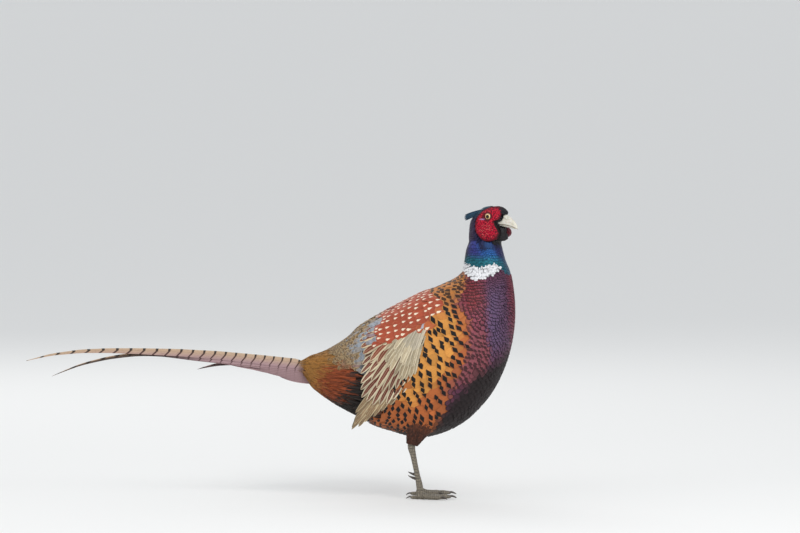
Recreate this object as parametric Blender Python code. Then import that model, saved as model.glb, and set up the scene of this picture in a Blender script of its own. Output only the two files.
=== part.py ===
"""Life-size common pheasant cock, standing, head turned a little to its right. Metres, +Z up, +X forward.

The origin is on the floor, under the middle of the length from bill tip to tail tip.
"""
import math

import bmesh
import bpy
from mathutils import Matrix, Vector
from mathutils.bvhtree import BVHTree

MM = 0.001
GAP = 0.3 * MM

# Head pose: the head turns about an upright axis in the neck, the neck takes up the turn lower down.
HEAD_TURN = math.radians(28.0)
HEAD_X = 345.0
HEAD_Z = 441.6
TURN_STARTS_Z = 372.0
TURN_ENDS_Z = 425.0

# Body stations from the crown to the tail root, in millimetres: the point on the back or nape, the point on
# the breast or belly, half the width, and how much the section narrows towards the breast.
HEAD_STATIONS = [
    ((3.0, 25.2), (21.0, 25.2), 5.0, 0.10),
    ((-4.5, 23.0), (28.0, 23.4), 9.0, 0.15),
    ((-11.0, 19.0), (34.0, 19.6), 12.2, 0.22),
    ((-18.5, 13.5), (37.5, 14.5), 14.6, 0.32),
    ((-24.0, 6.5), (37.0, 7.0), 16.4, 0.40),
    ((-27.5, -2.0), (34.0, -1.0), 17.8, 0.40),
    ((-29.0, -11.0), (30.5, -10.0), 19.4, 0.26),
    ((-29.5, -20.0), (28.5, -20.0), 21.0, 0.12),
    ((-29.4, -26.5), (26.4, -27.0), 22.3, 0.04),
]
BODY_STATIONS = [
    ((316.0, 409.4), (367.0, 409.4), 24.0, 0.0),
    ((312.5, 398.4), (369.3, 397.2), 26.5, 0.0),
    ((310.1, 384.6), (374.2, 379.6), 30.0, 0.0),
    ((308.6, 373.4), (383.4, 354.0), 35.5, 0.0),
    ((306.6, 365.0), (389.0, 309.0), 44.0, 0.0),
    ((302.6, 357.6), (386.6, 262.0), 53.0, 0.0),
    ((292.0, 349.6), (373.6, 211.0), 62.0, 0.0),
    ((271.0, 340.0), (347.0, 161.0), 68.5, 0.0),
    ((240.8, 327.0), (302.0, 118.0), 71.5, 0.0),
    ((205.6, 309.6), (243.0, 97.6), 70.0, 0.0),
    ((170.4, 289.4), (183.0, 110.4), 64.5, 0.0),
    ((136.8, 267.0), (131.0, 134.4), 55.0, 0.0),
    ((106.4, 246.0), (96.0, 154.0), 45.5, 0.0),
    ((77.0, 231.5), (70.0, 173.0), 32.5, 0.0),
    ((45.0, 224.4), (48.0, 191.0), 19.0, 0.0),
]
CROWN_POLE = (12.0, 26.2)
HEAD_END = 9
NECK_END = 12
TORSO_END = 21
LAST_STATION = 23
RING_SIDES = 26

EYE = (8.5, 9.5)
EYE_RADIUS = 5.6
EYE_OUT = 11.6

# The red face: its outline about its own middle, in the head's frame, forward and up.
WATTLE_MIDDLE = (9.0, -2.0)
WATTLE_OUTLINE = [
    (31.5, 13.0), (31.0, 4.0), (23.0, 1.0), (28.5, -9.0), (31.0, -17.0), (26.0, -25.0),
    (16.0, -30.0), (6.0, -29.5), (-4.0, -22.5), (-11.0, -12.0), (-12.0, 2.0), (-9.0, 11.0),
    (-2.0, 19.0), (8.0, 24.2), (20.0, 25.6), (29.5, 21.5),
]

# The ridge of the tail from the rump to the tip, X and Z.
TAIL_RIDGE = [
    (60.0, 221.0), (45.0, 222.6), (-20.0, 229.5), (-86.0, 235.5), (-150.0, 239.0), (-212.0, 240.3),
    (-262.0, 240.4), (-307.0, 238.4), (-354.0, 231.8), (-393.0, 221.0),
]


def turned(point, z):
    """The point turned with the head, by the share of the turn that the neck has taken at height z."""
    share = (z - TURN_STARTS_Z) / (TURN_ENDS_Z - TURN_STARTS_Z)
    share = min(max(share, 0.0), 1.0)
    angle = HEAD_TURN * share * share * (3 - 2 * share)
    x, y = point[0] - HEAD_X, point[1]
    return Vector((
        HEAD_X + x * math.cos(angle) + y * math.sin(angle),
        y * math.cos(angle) - x * math.sin(angle),
        point[2],
    ))


def blended(rows, t):
    """Values between rows of numbers, on a curve that runs smoothly through every row."""
    i = min(int(t), len(rows) - 2)
    s = t - i
    p = [rows[min(max(i + k, 0), len(rows) - 1)] for k in (-1, 0, 1, 2)]
    weights = (
        (-s + 2 * s * s - s ** 3) / 2,
        (2 - 5 * s * s + 3 * s ** 3) / 2,
        (s + 4 * s * s - 3 * s ** 3) / 2,
        (s ** 3 - s * s) / 2,
    )
    return [sum(w * row[k] for w, row in zip(weights, p)) for k in range(len(rows[0]))]


def station_rows():
    head = [
        (HEAD_X + b[0], HEAD_Z + b[1], HEAD_X + f[0], HEAD_Z + f[1], w, p)
        for b, f, w, p in HEAD_STATIONS
    ]
    return head + [(*b, *f, w, p) for b, f, w, p in BODY_STATIONS]


STATIONS = station_rows()


def ring(t, shift=0.0, turn=True):
    """One section of the body, shifted along the body by so many millimetres."""
    bx, bz, fx, fz, width, narrow = blended(STATIONS, t)
    middle = Vector(((bx + fx) / 2, 0, (bz + fz) / 2))
    back = Vector(((bx - fx) / 2, 0, (bz - fz) / 2))
    along = back.cross(Vector((0, 1, 0))).normalized()
    middle += along * shift
    points = []
    for k in range(RING_SIDES):
        angle = 2 * math.pi * k / RING_SIDES
        out = width * math.sin(angle) * (1 + narrow * math.cos(angle))
        point = middle + back * math.cos(angle) + Vector((0, out, 0))
        points.append(turned(point, middle.z) if turn else point)
    return points


def mesh_object(name, points, faces, collection=None, material=None):
    """A mesh object from points in millimetres, with its faces turned to point outwards."""
    mesh = bpy.data.meshes.new(name)
    mesh.from_pydata([Vector(p) * MM for p in points], [], faces)
    bm = bmesh.new()
    bm.from_mesh(mesh)
    bmesh.ops.recalc_face_normals(bm, faces=bm.faces)
    bm.to_mesh(mesh)
    bm.free()
    obj = bpy.data.objects.new(name, mesh)
    (collection or PARTS).objects.link(obj)
    if material:
        mesh.materials.append(material)
    return obj


def loft_faces(rings, sides, first_pole=False, last_pole=False):
    """Faces between rings of so many points each; an end is a flat cap, or a fan to a pole point."""
    faces = []
    for i in range(rings - 1):
        for k in range(sides):
            n = (k + 1) % sides
            faces.append((i * sides + k, i * sides + n, (i + 1) * sides + n, (i + 1) * sides + k))
    last = (rings - 1) * sides
    pole = rings * sides
    if first_pole:
        faces += [(pole, (k + 1) % sides, k) for k in range(sides)]
        pole += 1
    else:
        faces.append(tuple(range(sides)))
    if last_pole:
        faces += [(pole, last + k, last + (k + 1) % sides) for k in range(sides)]
    else:
        faces.append(tuple(last + k for k in reversed(range(sides))))
    return faces


def loft(name, rings, collection=None, material=None, first_pole=None, last_pole=None):
    points = [p for r in rings for p in r]
    points += [p for p in (first_pole, last_pole) if p is not None]
    faces = loft_faces(len(rings), len(rings[0]), first_pole is not None, last_pole is not None)
    return mesh_object(name, points, faces, collection, material)


def body_length(name, start, end, steps, turn=True, collection=None, material=None):
    """A length of the body between two stations, from the crown where start is 0."""
    inset = GAP / MM / 2
    rings, pole = [], None
    for i in range(steps + 1):
        t = start + (end - start) * i / steps
        shift = 0.0
        if i == 0 and start > 0:
            shift = inset
        if i == steps:
            shift = -inset
        rings.append(ring(t, shift, turn))
    if start == 0:
        crown = Vector((HEAD_X + CROWN_POLE[0], 0, HEAD_Z + CROWN_POLE[1]))
        pole = turned(crown, crown.z) if turn else crown
    return loft(name, rings, collection, material, first_pole=pole)


def boolean(obj, other, operation, solver="EXACT"):
    """Adds a Boolean with another object and applies it, so that the node is a plain mesh."""
    modifier = obj.modifiers.new(operation.lower(), "BOOLEAN")
    modifier.operation = operation
    modifier.solver = solver
    modifier.object = other
    apply_modifiers(obj)


def apply_modifiers(obj):
    graph = bpy.context.evaluated_depsgraph_get()
    graph.update()
    mesh = bpy.data.meshes.new_from_object(obj.evaluated_get(graph))
    mesh.name = obj.data.name
    obj.modifiers.clear()
    obj.data = mesh


def joined(obj, pieces, solver="MANIFOLD"):
    """Joins closed pieces to an object with one Boolean union on a collection, then removes them."""
    if pieces:
        group = bpy.data.collections.new(obj.name + "_pieces")
        bpy.context.scene.collection.children.link(group)
        for piece in pieces:
            for owner in list(piece.users_collection):
                owner.objects.unlink(piece)
            group.objects.link(piece)
        modifier = obj.modifiers.new("join", "BOOLEAN")
        modifier.operation = "UNION"
        modifier.solver = solver
        modifier.operand_type = "COLLECTION"
        modifier.collection = group
        apply_modifiers(obj)
        for piece in pieces:
            bpy.data.objects.remove(piece)
        bpy.data.collections.remove(group)
    return obj


def largest_surface(obj):
    """Keeps the node's largest closed surface."""
    bm = bmesh.new()
    bm.from_mesh(obj.data)
    bmesh.ops.remove_doubles(bm, verts=bm.verts, dist=0.002 * MM)
    left = set(bm.verts)
    pieces = []
    while left:
        piece, edge = set(), [left.pop()]
        while edge:
            vert = edge.pop()
            piece.add(vert)
            for link in vert.link_edges:
                other = link.other_vert(vert)
                if other in left:
                    left.discard(other)
                    edge.append(other)
        pieces.append(piece)

    def volume(piece):
        faces = {f for v in piece for f in v.link_faces}
        total = 0.0
        for face in faces:
            corners = [v.co for v in face.verts]
            for a, b in zip(corners[1:], corners[2:]):
                total += corners[0].dot(a.cross(b))
        return abs(total)

    keep = max(pieces, key=volume)
    bmesh.ops.delete(bm, geom=[v for v in bm.verts if v not in keep], context="VERTS")
    bm.to_mesh(obj.data)
    bm.free()
    return obj


def swollen(obj, cutters, by=1.3):
    """A copy of a node, swollen by a little more than the gap, to cut its neighbours with."""
    mesh = obj.data.copy()
    block = bpy.data.objects.new(obj.name + "_clearance", mesh)
    cutters.objects.link(block)
    bm = bmesh.new()
    bm.from_mesh(mesh)
    bm.normal_update()
    for vert in bm.verts:
        vert.co += vert.normal * GAP * by
    bm.to_mesh(mesh)
    bm.free()
    return block


def clear_of(obj, *names):
    """Cuts a node clear of others, which keeps the small gap between touching faces."""
    for name in names:
        boolean(obj, bpy.data.objects[name + "_clearance"], "DIFFERENCE")


def mirrored(obj, name):
    """The same shape on the other side of the body's middle plane."""
    mesh = obj.data.copy()
    mesh.transform(Matrix.Scale(-1, 4, (0, 1, 0)))
    mesh.flip_normals()
    other = bpy.data.objects.new(name, mesh)
    PARTS.objects.link(other)
    return other


def turn_with_head(obj):
    """Turns an object that was made straight ahead by the whole turn of the head."""
    centre = Matrix.Translation((HEAD_X * MM, 0, 0))
    obj.data.transform(centre @ Matrix.Rotation(-HEAD_TURN, 4, "Z") @ centre.inverted())
    return obj


def material(name, colour, roughness, metallic=0.0):
    made = bpy.data.materials.new(name)
    made.use_nodes = True
    shader = made.node_tree.nodes["Principled BSDF"]
    shader.inputs["Base Color"].default_value = (*colour, 1)
    shader.inputs["Roughness"].default_value = roughness
    shader.inputs["Metallic"].default_value = metallic
    return made


def tube(name, spine, radii, sides=10, squash=1.0, collection=None, material=None):
    """A closed tube of round sections along a list of points, with a radius at each."""
    rings = []
    for i, (point, radius) in enumerate(zip(spine, radii)):
        ahead = Vector(spine[min(i + 1, len(spine) - 1)]) - Vector(spine[max(i - 1, 0)])
        ahead.normalize()
        side = Vector((0, 1, 0)) if abs(ahead.y) < 0.9 else Vector((1, 0, 0))
        up = ahead.cross(side).normalized()
        side = up.cross(ahead).normalized()
        rings.append([
            Vector(point)
            + side * math.cos(2 * math.pi * k / sides) * radius * squash
            + up * math.sin(2 * math.pi * k / sides) * radius
            for k in range(sides)
        ])
    return loft(name, rings, collection, material)


def ellipsoid(name, centre, radii, segments=16, rings=10, collection=None):
    bm = bmesh.new()
    bmesh.ops.create_uvsphere(bm, u_segments=segments, v_segments=rings, radius=1.0)
    bmesh.ops.scale(bm, vec=Vector(radii) * MM, verts=bm.verts)
    bmesh.ops.translate(bm, vec=Vector(centre) * MM, verts=bm.verts)
    mesh = bpy.data.meshes.new(name)
    bm.to_mesh(mesh)
    bm.free()
    obj = bpy.data.objects.new(name, mesh)
    (collection or PARTS).objects.link(obj)
    return obj


def reach(tree, x, z):
    """How far a body reaches sideways at this place in side view, in millimetres, or 0 beside it."""
    hit = tree.ray_cast(Vector((x * MM, -1.0, z * MM)), Vector((0, 1, 0)))[0]
    return 0.0 if hit is None else -hit.y / MM


def tree_of(obj):
    bm = bmesh.new()
    bm.from_mesh(obj.data)
    tree = BVHTree.FromBMesh(bm)
    bm.free()
    return tree


def body_place(x, z):
    """Station and share from the middle to the back (or, negative, to the belly) of a place in side view."""
    place = Vector((x, 0, z))
    best = None
    steps = 220
    before = None
    for i in range(steps + 1):
        t = NECK_END - 1 + (LAST_STATION - NECK_END + 1) * i / steps
        bx, bz, fx, fz, _, _ = blended(STATIONS, t)
        back = Vector(((bx - fx) / 2, 0, (bz - fz) / 2))
        away = place - Vector(((bx + fx) / 2, 0, (bz + fz) / 2))
        turn = away.x * back.z - away.z * back.x
        share = away.dot(back) / back.length_squared
        if before is not None and (turn > 0) != (before > 0):
            if best is None or abs(share) < abs(best[1]):
                best = (t, share)
        before = turn
    return best or (LAST_STATION, 0.0)


def drape(x, z):
    """How far out a wing hangs at this place: on the body, and nearly straight down below its widest line."""
    t, share = body_place(x, z)
    width = blended(STATIONS, t)[4]
    reach_down = 1.45 if share < 0 else 1.0
    return width * math.sqrt(max(1 - (share / reach_down) ** 2, 0.0))


def around(outline, steps):
    """Points evenly spread by number on a smooth closed curve through an outline."""
    count = len(outline)
    rows = [outline[(k - 1) % count] for k in range(count + 3)]
    return [blended(rows, 1 + count * k / steps) for k in range(steps)]


def lens(name, outline, middle, outer, inner, steps, rounds, collection=None, material=None):
    """A closed lens over an outline in side view, with its outer and inner reach given as functions."""
    rim = around(outline, steps)
    points, faces = [], []
    for side in (outer, inner):
        for r in range(1, rounds + 1):
            share = r / rounds
            for x, z in rim:
                px = middle[0] + (x - middle[0]) * share
                pz = middle[1] + (z - middle[1]) * share
                points.append(Vector((px, -side(px, pz, share), pz)))
        points.append(Vector((middle[0], -side(*middle, 0.0), middle[1])))
    half = rounds * steps + 1
    for base, flip in ((0, False), (half, True)):
        made = []
        for r in range(rounds - 1):
            for k in range(steps):
                n = (k + 1) % steps
                a, b = base + r * steps, base + (r + 1) * steps
                made.append((a + k, a + n, b + n, b + k))
        made += [(base + half - 1, base + (k + 1) % steps, base + k) for k in range(steps)]
        faces += [tuple(reversed(f)) for f in made] if flip else made
    edge, other = (rounds - 1) * steps, half + (rounds - 1) * steps
    faces += [
        (edge + k, edge + (k + 1) % steps, other + (k + 1) % steps, other + k) for k in range(steps)
    ]
    return mesh_object(name, points, faces, collection, material)


def build_body(mats, cutters):
    """Head, neck, torso and rump as lengths of one body, and the same lengths a little swollen, to cut with."""
    feather = mats["body"]
    body_length("head", 0, HEAD_END, 14, material=mats["neck"])
    body_length("neck", HEAD_END, NECK_END, 6, material=mats["neck"])
    body_length("torso", NECK_END, TORSO_END, 18, material=feather)
    body_length("rump", TORSO_END, LAST_STATION, 6, material=feather)
    for name in ("head", "neck", "torso", "rump"):
        swollen(bpy.data.objects[name], cutters)


def wattle_reach(f, u):
    """How far out the red face stands at a place in the head's frame, in millimetres."""
    face = blended([(20.5,), (20.8,), (20.2,), (18.6,), (16.4,), (12.6,), (8.0,)], (u + 31) / 9.6)[0]
    forward = max(f - 10.0, 0.0)
    lobe = math.exp(-((f - 9.0) / 19.0) ** 2 - ((u + 13.0) / 14.0) ** 2)
    eye_hollow = math.exp(-(((f - EYE[0]) / 7.5) ** 2 + ((u - EYE[1]) / 6.5) ** 2))
    gape_fold = math.exp(-(((f - 19.0) / 9.0) ** 2 + ((u - 0.5) / 2.6) ** 2))
    return face - 0.0115 * forward ** 2 + 4.6 * lobe - 0.7 * eye_hollow - 1.3 * gape_fold


def wattle_bulbs(f, u):
    """Rows of small bulbs that give the red face its grain."""
    return 0.35 * math.sin(f * 0.95 + 0.6 * u) * math.sin(u * 1.05 - 0.3 * f)


def build_face(mats, cutters):
    """The red faces with their lids, and the eyes in their sockets."""
    straight = body_length("straight_head", 0, HEAD_END + 1, 20, turn=False, collection=cutters)
    tree = tree_of(straight)

    def place(f, u):
        return HEAD_X + f, HEAD_Z + u

    def outer(x, z, share):
        f, u = x - HEAD_X, z - HEAD_Z
        rim = 1.5 * max(share - 0.55, 0.0) ** 2 / 0.2
        return max(wattle_reach(f, u) + wattle_bulbs(f, u) * (1 - share ** 4), reach(tree, x, z) + 1.2) - rim

    def inner(x, z, share):
        flap = outer(x, z, share) - (3.4 - 2.0 * share ** 3)
        return max(reach(tree, x, z) - 2.5, min(flap, 14.0 if share < 0.3 else flap))

    outline = [place(*p) for p in WATTLE_OUTLINE]
    wattle = lens("wattle_right", outline, place(*WATTLE_MIDDLE), outer, inner, 28, 5)
    lids = tube(
        "lids",
        [
            Vector((
                HEAD_X + EYE[0] + 6.0 * math.cos(a) * (1.12 if abs(math.cos(a)) > 0.9 else 1.0),
                -(EYE_OUT + 4.15),
                HEAD_Z + EYE[1] + 5.2 * math.sin(a),
            ))
            for a in [2 * math.pi * k / 16 for k in range(16)]
        ],
        [1.15] * 16,
        sides=5,
    )
    close_loop(lids, 16, 5)
    joined(wattle, [lids])
    socket = ellipsoid("socket", (HEAD_X + EYE[0], -EYE_OUT, HEAD_Z + EYE[1]),
                       [EYE_RADIUS + GAP / MM] * 3, 16, 10, cutters)
    boolean(wattle, socket, "DIFFERENCE")
    eye = ellipsoid("eye_right", (HEAD_X + EYE[0], -EYE_OUT, HEAD_Z + EYE[1]), [EYE_RADIUS] * 3, 16, 10)
    left_socket = mirrored(socket, "socket_left")
    PARTS.objects.unlink(left_socket)
    cutters.objects.link(left_socket)
    wattle_left = mirrored(wattle, "wattle_left")
    eye_left = mirrored(eye, "eye_left")
    for obj in (wattle, wattle_left, eye, eye_left, socket, left_socket):
        turn_with_head(obj)
    for obj in (wattle, wattle_left):
        clear_of(obj, "head", "neck")
        largest_surface(obj)
        obj.data.materials.clear()
        obj.data.materials.append(mats["wattle"])
        swollen(obj, cutters)
    head = bpy.data.objects["head"]
    for hole in (socket, left_socket):
        boolean(head, hole, "DIFFERENCE")
    for obj in (eye, eye_left):
        obj.data.materials.append(mats["eye"])


def close_loop(obj, rings, sides):
    """Turns a tube whose path runs round in a ring into a closed ring, in place of its two caps."""
    bm = bmesh.new()
    bm.from_mesh(obj.data)
    caps = [f for f in bm.faces if len(f.verts) == sides]
    bmesh.ops.delete(bm, geom=caps, context="FACES_ONLY")
    bm.verts.ensure_lookup_table()
    last = (rings - 1) * sides
    for k in range(sides):
        n = (k + 1) % sides
        bm.faces.new([bm.verts[i] for i in (last + k, last + n, n, k)])
    bmesh.ops.recalc_face_normals(bm, faces=bm.faces)
    bm.to_mesh(obj.data)
    bm.free()


# Bill sections from the base to the tip, in the head's frame: forward, top of the upper half, mouth line,
# underside of the lower half, half widths of the two halves.
BILL_SECTIONS = [
    (20.0, 11.5, -1.6, -5.6, 8.8, 7.6),
    (28.0, 12.2, -2.6, -6.2, 8.0, 6.9),
    (33.5, 12.6, -3.2, -7.2, 7.0, 6.2),
    (38.0, 11.6, -3.9, -8.0, 6.2, 5.5),
    (42.0, 8.8, -4.8, -8.6, 5.4, 4.7),
    (45.5, 5.4, -5.8, -9.2, 4.5, 3.8),
    (48.5, 1.8, -6.9, -9.9, 3.6, 2.7),
    (51.0, -2.0, -8.2, -9.9, 2.7, 1.2),
    (53.0, -6.0, -9.8, None, 1.7, None),
    (53.9, -9.0, -11.0, None, 0.7, None),
]
NOSTRIL = (36.5, 4.4)


def build_bill(mats, cutters):
    """The two halves of the closed bill, with the mouth line between them and a nostril on each side."""
    lip = GAP / MM / 2
    upper_rings, lower_rings = [], []
    sides = 12
    for i in range(2 * len(BILL_SECTIONS) - 1):
        t = i / 2
        f, top, mouth, _, width, _ = blended([[v or 0.0 for v in row] for row in BILL_SECTIONS], t)
        upper_rings.append(half_section(f, mouth + lip, top, width, sides, 0.72))
    lower = [row for row in BILL_SECTIONS if row[3] is not None]
    for i in range(2 * len(lower) - 1):
        f, _, mouth, under, _, width = blended(lower, i / 2)
        lower_rings.append(half_section(f, mouth - lip, under, width, sides, 0.9))
    upper = loft("bill_upper", upper_rings, material=mats["bill"])
    lower_half = loft("bill_lower", lower_rings, material=mats["bill"])
    for side in (-1, 1):
        nostril = ellipsoid("nostril", (HEAD_X + NOSTRIL[0], side * 6.6, HEAD_Z + NOSTRIL[1]),
                            (2.6, 1.3, 0.9), 8, 6, cutters)
        boolean(upper, nostril, "DIFFERENCE")
    for obj in (upper, lower_half):
        turn_with_head(obj)
        clear_of(obj, "head", "neck")
        largest_surface(obj)


def half_section(f, flat, crest, width, sides, fullness):
    """One section of a bill half: flat at the mouth line, arched to its crest on the other side."""
    points = []
    arch = sides - 2
    for k in range(arch + 1):
        angle = math.pi * k / arch
        rise = (crest - flat) * math.sin(angle) ** fullness
        points.append(Vector((HEAD_X + f, width * math.cos(angle), HEAD_Z + flat + rise)))
    points.append(Vector((HEAD_X + f, 0.0, HEAD_Z + flat)))
    return points


# Feather vanes in the solids: the thickness at the shaft and at the edges, and how far apart neighbours lie.
SHAFT_THICK = 0.65
EDGE_THICK = 0.5
LAYER = 0.95

# Shares of a vane's length where its sections are, and its width there.
LONG_VANE_SHAPE = [(0.0, 0.5), (0.22, 0.8), (0.45, 0.98), (0.68, 1.0), (0.88, 0.74), (1.0, 0.16)]
VANE_SHAPE = [(0.0, 0.55), (0.3, 0.9), (0.66, 1.0), (0.88, 0.74), (1.0, 0.16)]
SHORT_VANE_SHAPE = [(0.0, 0.6), (0.5, 1.0), (0.84, 0.8), (1.0, 0.2)]


def vane(name, sections, inwards):
    """A thin closed feather vane. A section is its left edge, shaft and right edge; both faces split alike."""
    points, faces = [], []
    for (left, shaft, right), inward in zip(sections, inwards):
        points += [left, shaft, right]
        points += [left + inward * EDGE_THICK, shaft + inward * SHAFT_THICK, right + inward * EDGE_THICK]
    for i in range(len(sections) - 1):
        near, far = 6 * i, 6 * i + 6
        for p, q in ((0, 1), (1, 2), (3, 4), (4, 5)):
            faces += [(near + p, near + q, far + q), (near + p, far + q, far + p)]
        for edge in (0, 2):
            faces += [(near + edge, far + edge, far + edge + 3), (near + edge, far + edge + 3, near + edge + 3)]
    for end in (0, 6 * (len(sections) - 1)):
        faces += [(end, end + 1, end + 4, end + 3), (end + 1, end + 2, end + 5, end + 4)]
    return mesh_object(name, points, faces)


# Tiers of the wing from the innermost: how many vanes, the line of their roots, the curve of their tips, half
# the width of a vane, how far the tier stands off the body, and the shape. X and Z, from the belly side up.
WING_TIERS = [
    (5, [(226, 226), (215, 246)], [(186, 158), (162, 137), (131, 113.5), (138, 140)], 9.4, 2.9, LONG_VANE_SHAPE),
    (9, [(231, 228), (214, 266)],
     [(204, 178), (192, 166), (174, 160), (158, 166), (148, 182), (144, 206), (148, 238)], 9.2, 5.5, VANE_SHAPE),
    (6, [(234, 238), (220, 268)], [(212, 192), (196, 192), (182, 206), (174, 226), (178, 246)], 8.2, 8.0,
     SHORT_VANE_SHAPE),
    (4, [(237, 254), (226, 272)], [(228, 214), (214, 214), (202, 228), (198, 248)], 8.6, 10.1, SHORT_VANE_SHAPE),
]
WING_CORE = [
    (247, 287), (238, 268), (240, 246), (234, 226), (222, 220), (210, 236), (204, 256), (212, 272), (230, 281),
]
WING_CORE_MIDDLE = (226, 254)


def hung(x, z, height):
    """A place on the hanging surface of the right wing, raised by height, and the way inwards there."""
    step = 1.0
    out = drape(x, z)
    slope_x = (drape(x + step, z) - drape(x - step, z)) / (2 * step)
    slope_z = (drape(x, z + step) - drape(x, z - step)) / (2 * step)
    outward = Vector((-slope_x, -1, -slope_z)).normalized()
    return Vector((x, -out, z)) + outward * height, -outward


def wing_tier(number, roots, tips, half, stand_off, shape):
    """One tier of overlapping vanes, each lapped by the next one up."""
    lines = []
    for k in range(number):
        share = k / (number - 1)
        root = Vector(roots[0]).lerp(Vector(roots[1]), share)
        tip = Vector(blended(tips, share * (len(tips) - 1)))
        lines.append((root, tip))
    vanes = []
    for k, (root, tip) in enumerate(lines):
        other_root, other_tip = lines[k + 1] if k + 1 < number else lines[k - 1]
        side = Vector((-(tip - root).y, (tip - root).x)).normalized()
        if side.y < 0:
            side.negate()
        sections, inwards = [], []
        for s, width in shape:
            middle = root.lerp(tip, s)
            spacing = abs((other_root.lerp(other_tip, s) - middle).dot(side))
            reach_out = half * width
            tilt = LAYER / max(spacing, reach_out * 0.75)
            row = []
            for lateral in (-reach_out, 0.0, reach_out):
                place = middle + side * lateral
                point, inward = hung(place.x, place.y, stand_off - tilt * lateral)
                row.append(point)
                if lateral == 0.0:
                    inwards.append(inward)
            sections.append(row)
        vanes.append(vane("vane", sections, inwards))
    return vanes


def build_wings(mats):
    """The folded, drooping wings: tiers of flight feathers and coverts from a core along the forearm."""
    def outer(x, z, share):
        return drape(x, z) + 10.9 - 7.5 * share ** 2

    def inner(x, z, share):
        return drape(x, z) - 1.2

    wing = lens("wing_right", WING_CORE, WING_CORE_MIDDLE, outer, inner, 16, 2)
    clear_of(wing, "torso", "rump")
    joined(wing, [v for tier in WING_TIERS for v in wing_tier(*tier)])
    largest_surface(wing)
    wing.data.materials.clear()
    wing.data.materials.append(mats["wing"])
    mirrored(wing, "wing_left")


# The tail: feathers in pairs from the ridge down each side of a steep roof, each pair under the one before.
TAIL_ROOT_X = 38.0
TAIL_SLOPE = math.radians(60.0)
TAIL_TIPS = {
    -1: [-393.0, -352.0, -190.0, -119.0, -75.0, -45.0, -20.0, 0.0, 8.0],
    1: [-376.0, -262.0, -184.0, -128.0, -80.0, -48.0, -22.0, -2.0, 8.0],
}
TAIL_DROOPS = {-1: {1: 33.0, 3: 16.0}, 1: {}}
TIP_SHARES = [0.06, 0.12, 0.35, 0.5, 0.55, 0.55, 0.55, 0.55, 0.55]


def ridge_height(x):
    """Height of the tail's ridge at x."""
    for (x0, z0), (x1, z1) in zip(TAIL_RIDGE, TAIL_RIDGE[1:]):
        if x >= x1:
            return z0 + (z1 - z0) * (x - x0) / (x1 - x0)
    return TAIL_RIDGE[-1][1]


def tail_feather(side, order):
    """One tail feather, so many places down from the ridge on one side."""
    down = Vector((0, side * math.cos(TAIL_SLOPE), -math.sin(TAIL_SLOPE)))
    outward = Vector((0, side * math.sin(TAIL_SLOPE), math.cos(TAIL_SLOPE)))
    inner_edge = (0.3 + math.sin(TAIL_SLOPE) * LAYER * order) / math.cos(TAIL_SLOPE)
    outer_edge = 19.0 + 2.6 * order
    line = inner_edge + TIP_SHARES[order] * (outer_edge - inner_edge)
    tip = TAIL_TIPS[side][order]
    droop = TAIL_DROOPS[side].get(order, 0.0)
    power = 1.3 if order == 0 else 2.6
    steps = 8 if order < 2 else 4
    sections, inwards = [], []
    for i in range(steps + 1):
        s = i / steps
        x = TAIL_ROOT_X + (tip - TAIL_ROOT_X) * s
        opened = min((TAIL_ROOT_X - x) / 40.0, 1.0)
        width = (0.5 + 0.5 * opened) * max((1 - s ** power) ** 0.75, 0.05)
        drop = droop * max((s - 0.5) / 0.5, 0.0) ** 2 + 5.0 * (1 - opened)
        ridge = Vector((x, 0, ridge_height(x) - drop)) - outward * LAYER * order
        near, far = line - (line - inner_edge) * width, line + (outer_edge - line) * width
        middle = near + 0.4 * (far - near)
        crown = outward * 0.35 * width
        sections.append([ridge + down * near, ridge + down * middle + crown, ridge + down * far])
        inwards.append(-outward)
    return vane("tail_feather", sections, inwards)


def build_tail(mats):
    """The long, steep-sided, pointed tail, feather by feather, on a core that meets the rump."""
    rings = []
    for x, share in ((45.0 - GAP / MM, 1.0), (32.0, 0.95), (18.0, 0.8), (6.0, 0.5), (0.0, 0.2)):
        rings.append([
            Vector((x, 18.6 * share * math.sin(a), 207.6 + 2.4 * (1 - share) + 16.4 * share * math.cos(a)))
            for a in [2 * math.pi * k / 10 for k in range(10)]
        ])
    tail = loft("tail", rings)
    joined(tail, [tail_feather(side, order) for side in (-1, 1) for order in range(len(TIP_SHARES))])
    largest_surface(tail)
    tail.data.materials.clear()
    tail.data.materials.append(mats["tail"])


TUFT_ROOT = Vector((HEAD_X - 6.0, -8.0, HEAD_Z + 16.5))
TUFT_TIP = Vector((HEAD_X - 42.0, -17.5, HEAD_Z + 7.5))
TUFT_VANES = [(-7.0, 0.84, -1.6), (-3.0, 0.95, -0.6), (1.0, 1.0, 0.4), (5.0, 0.93, 1.4), (9.0, 0.8, 2.4)]


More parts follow.
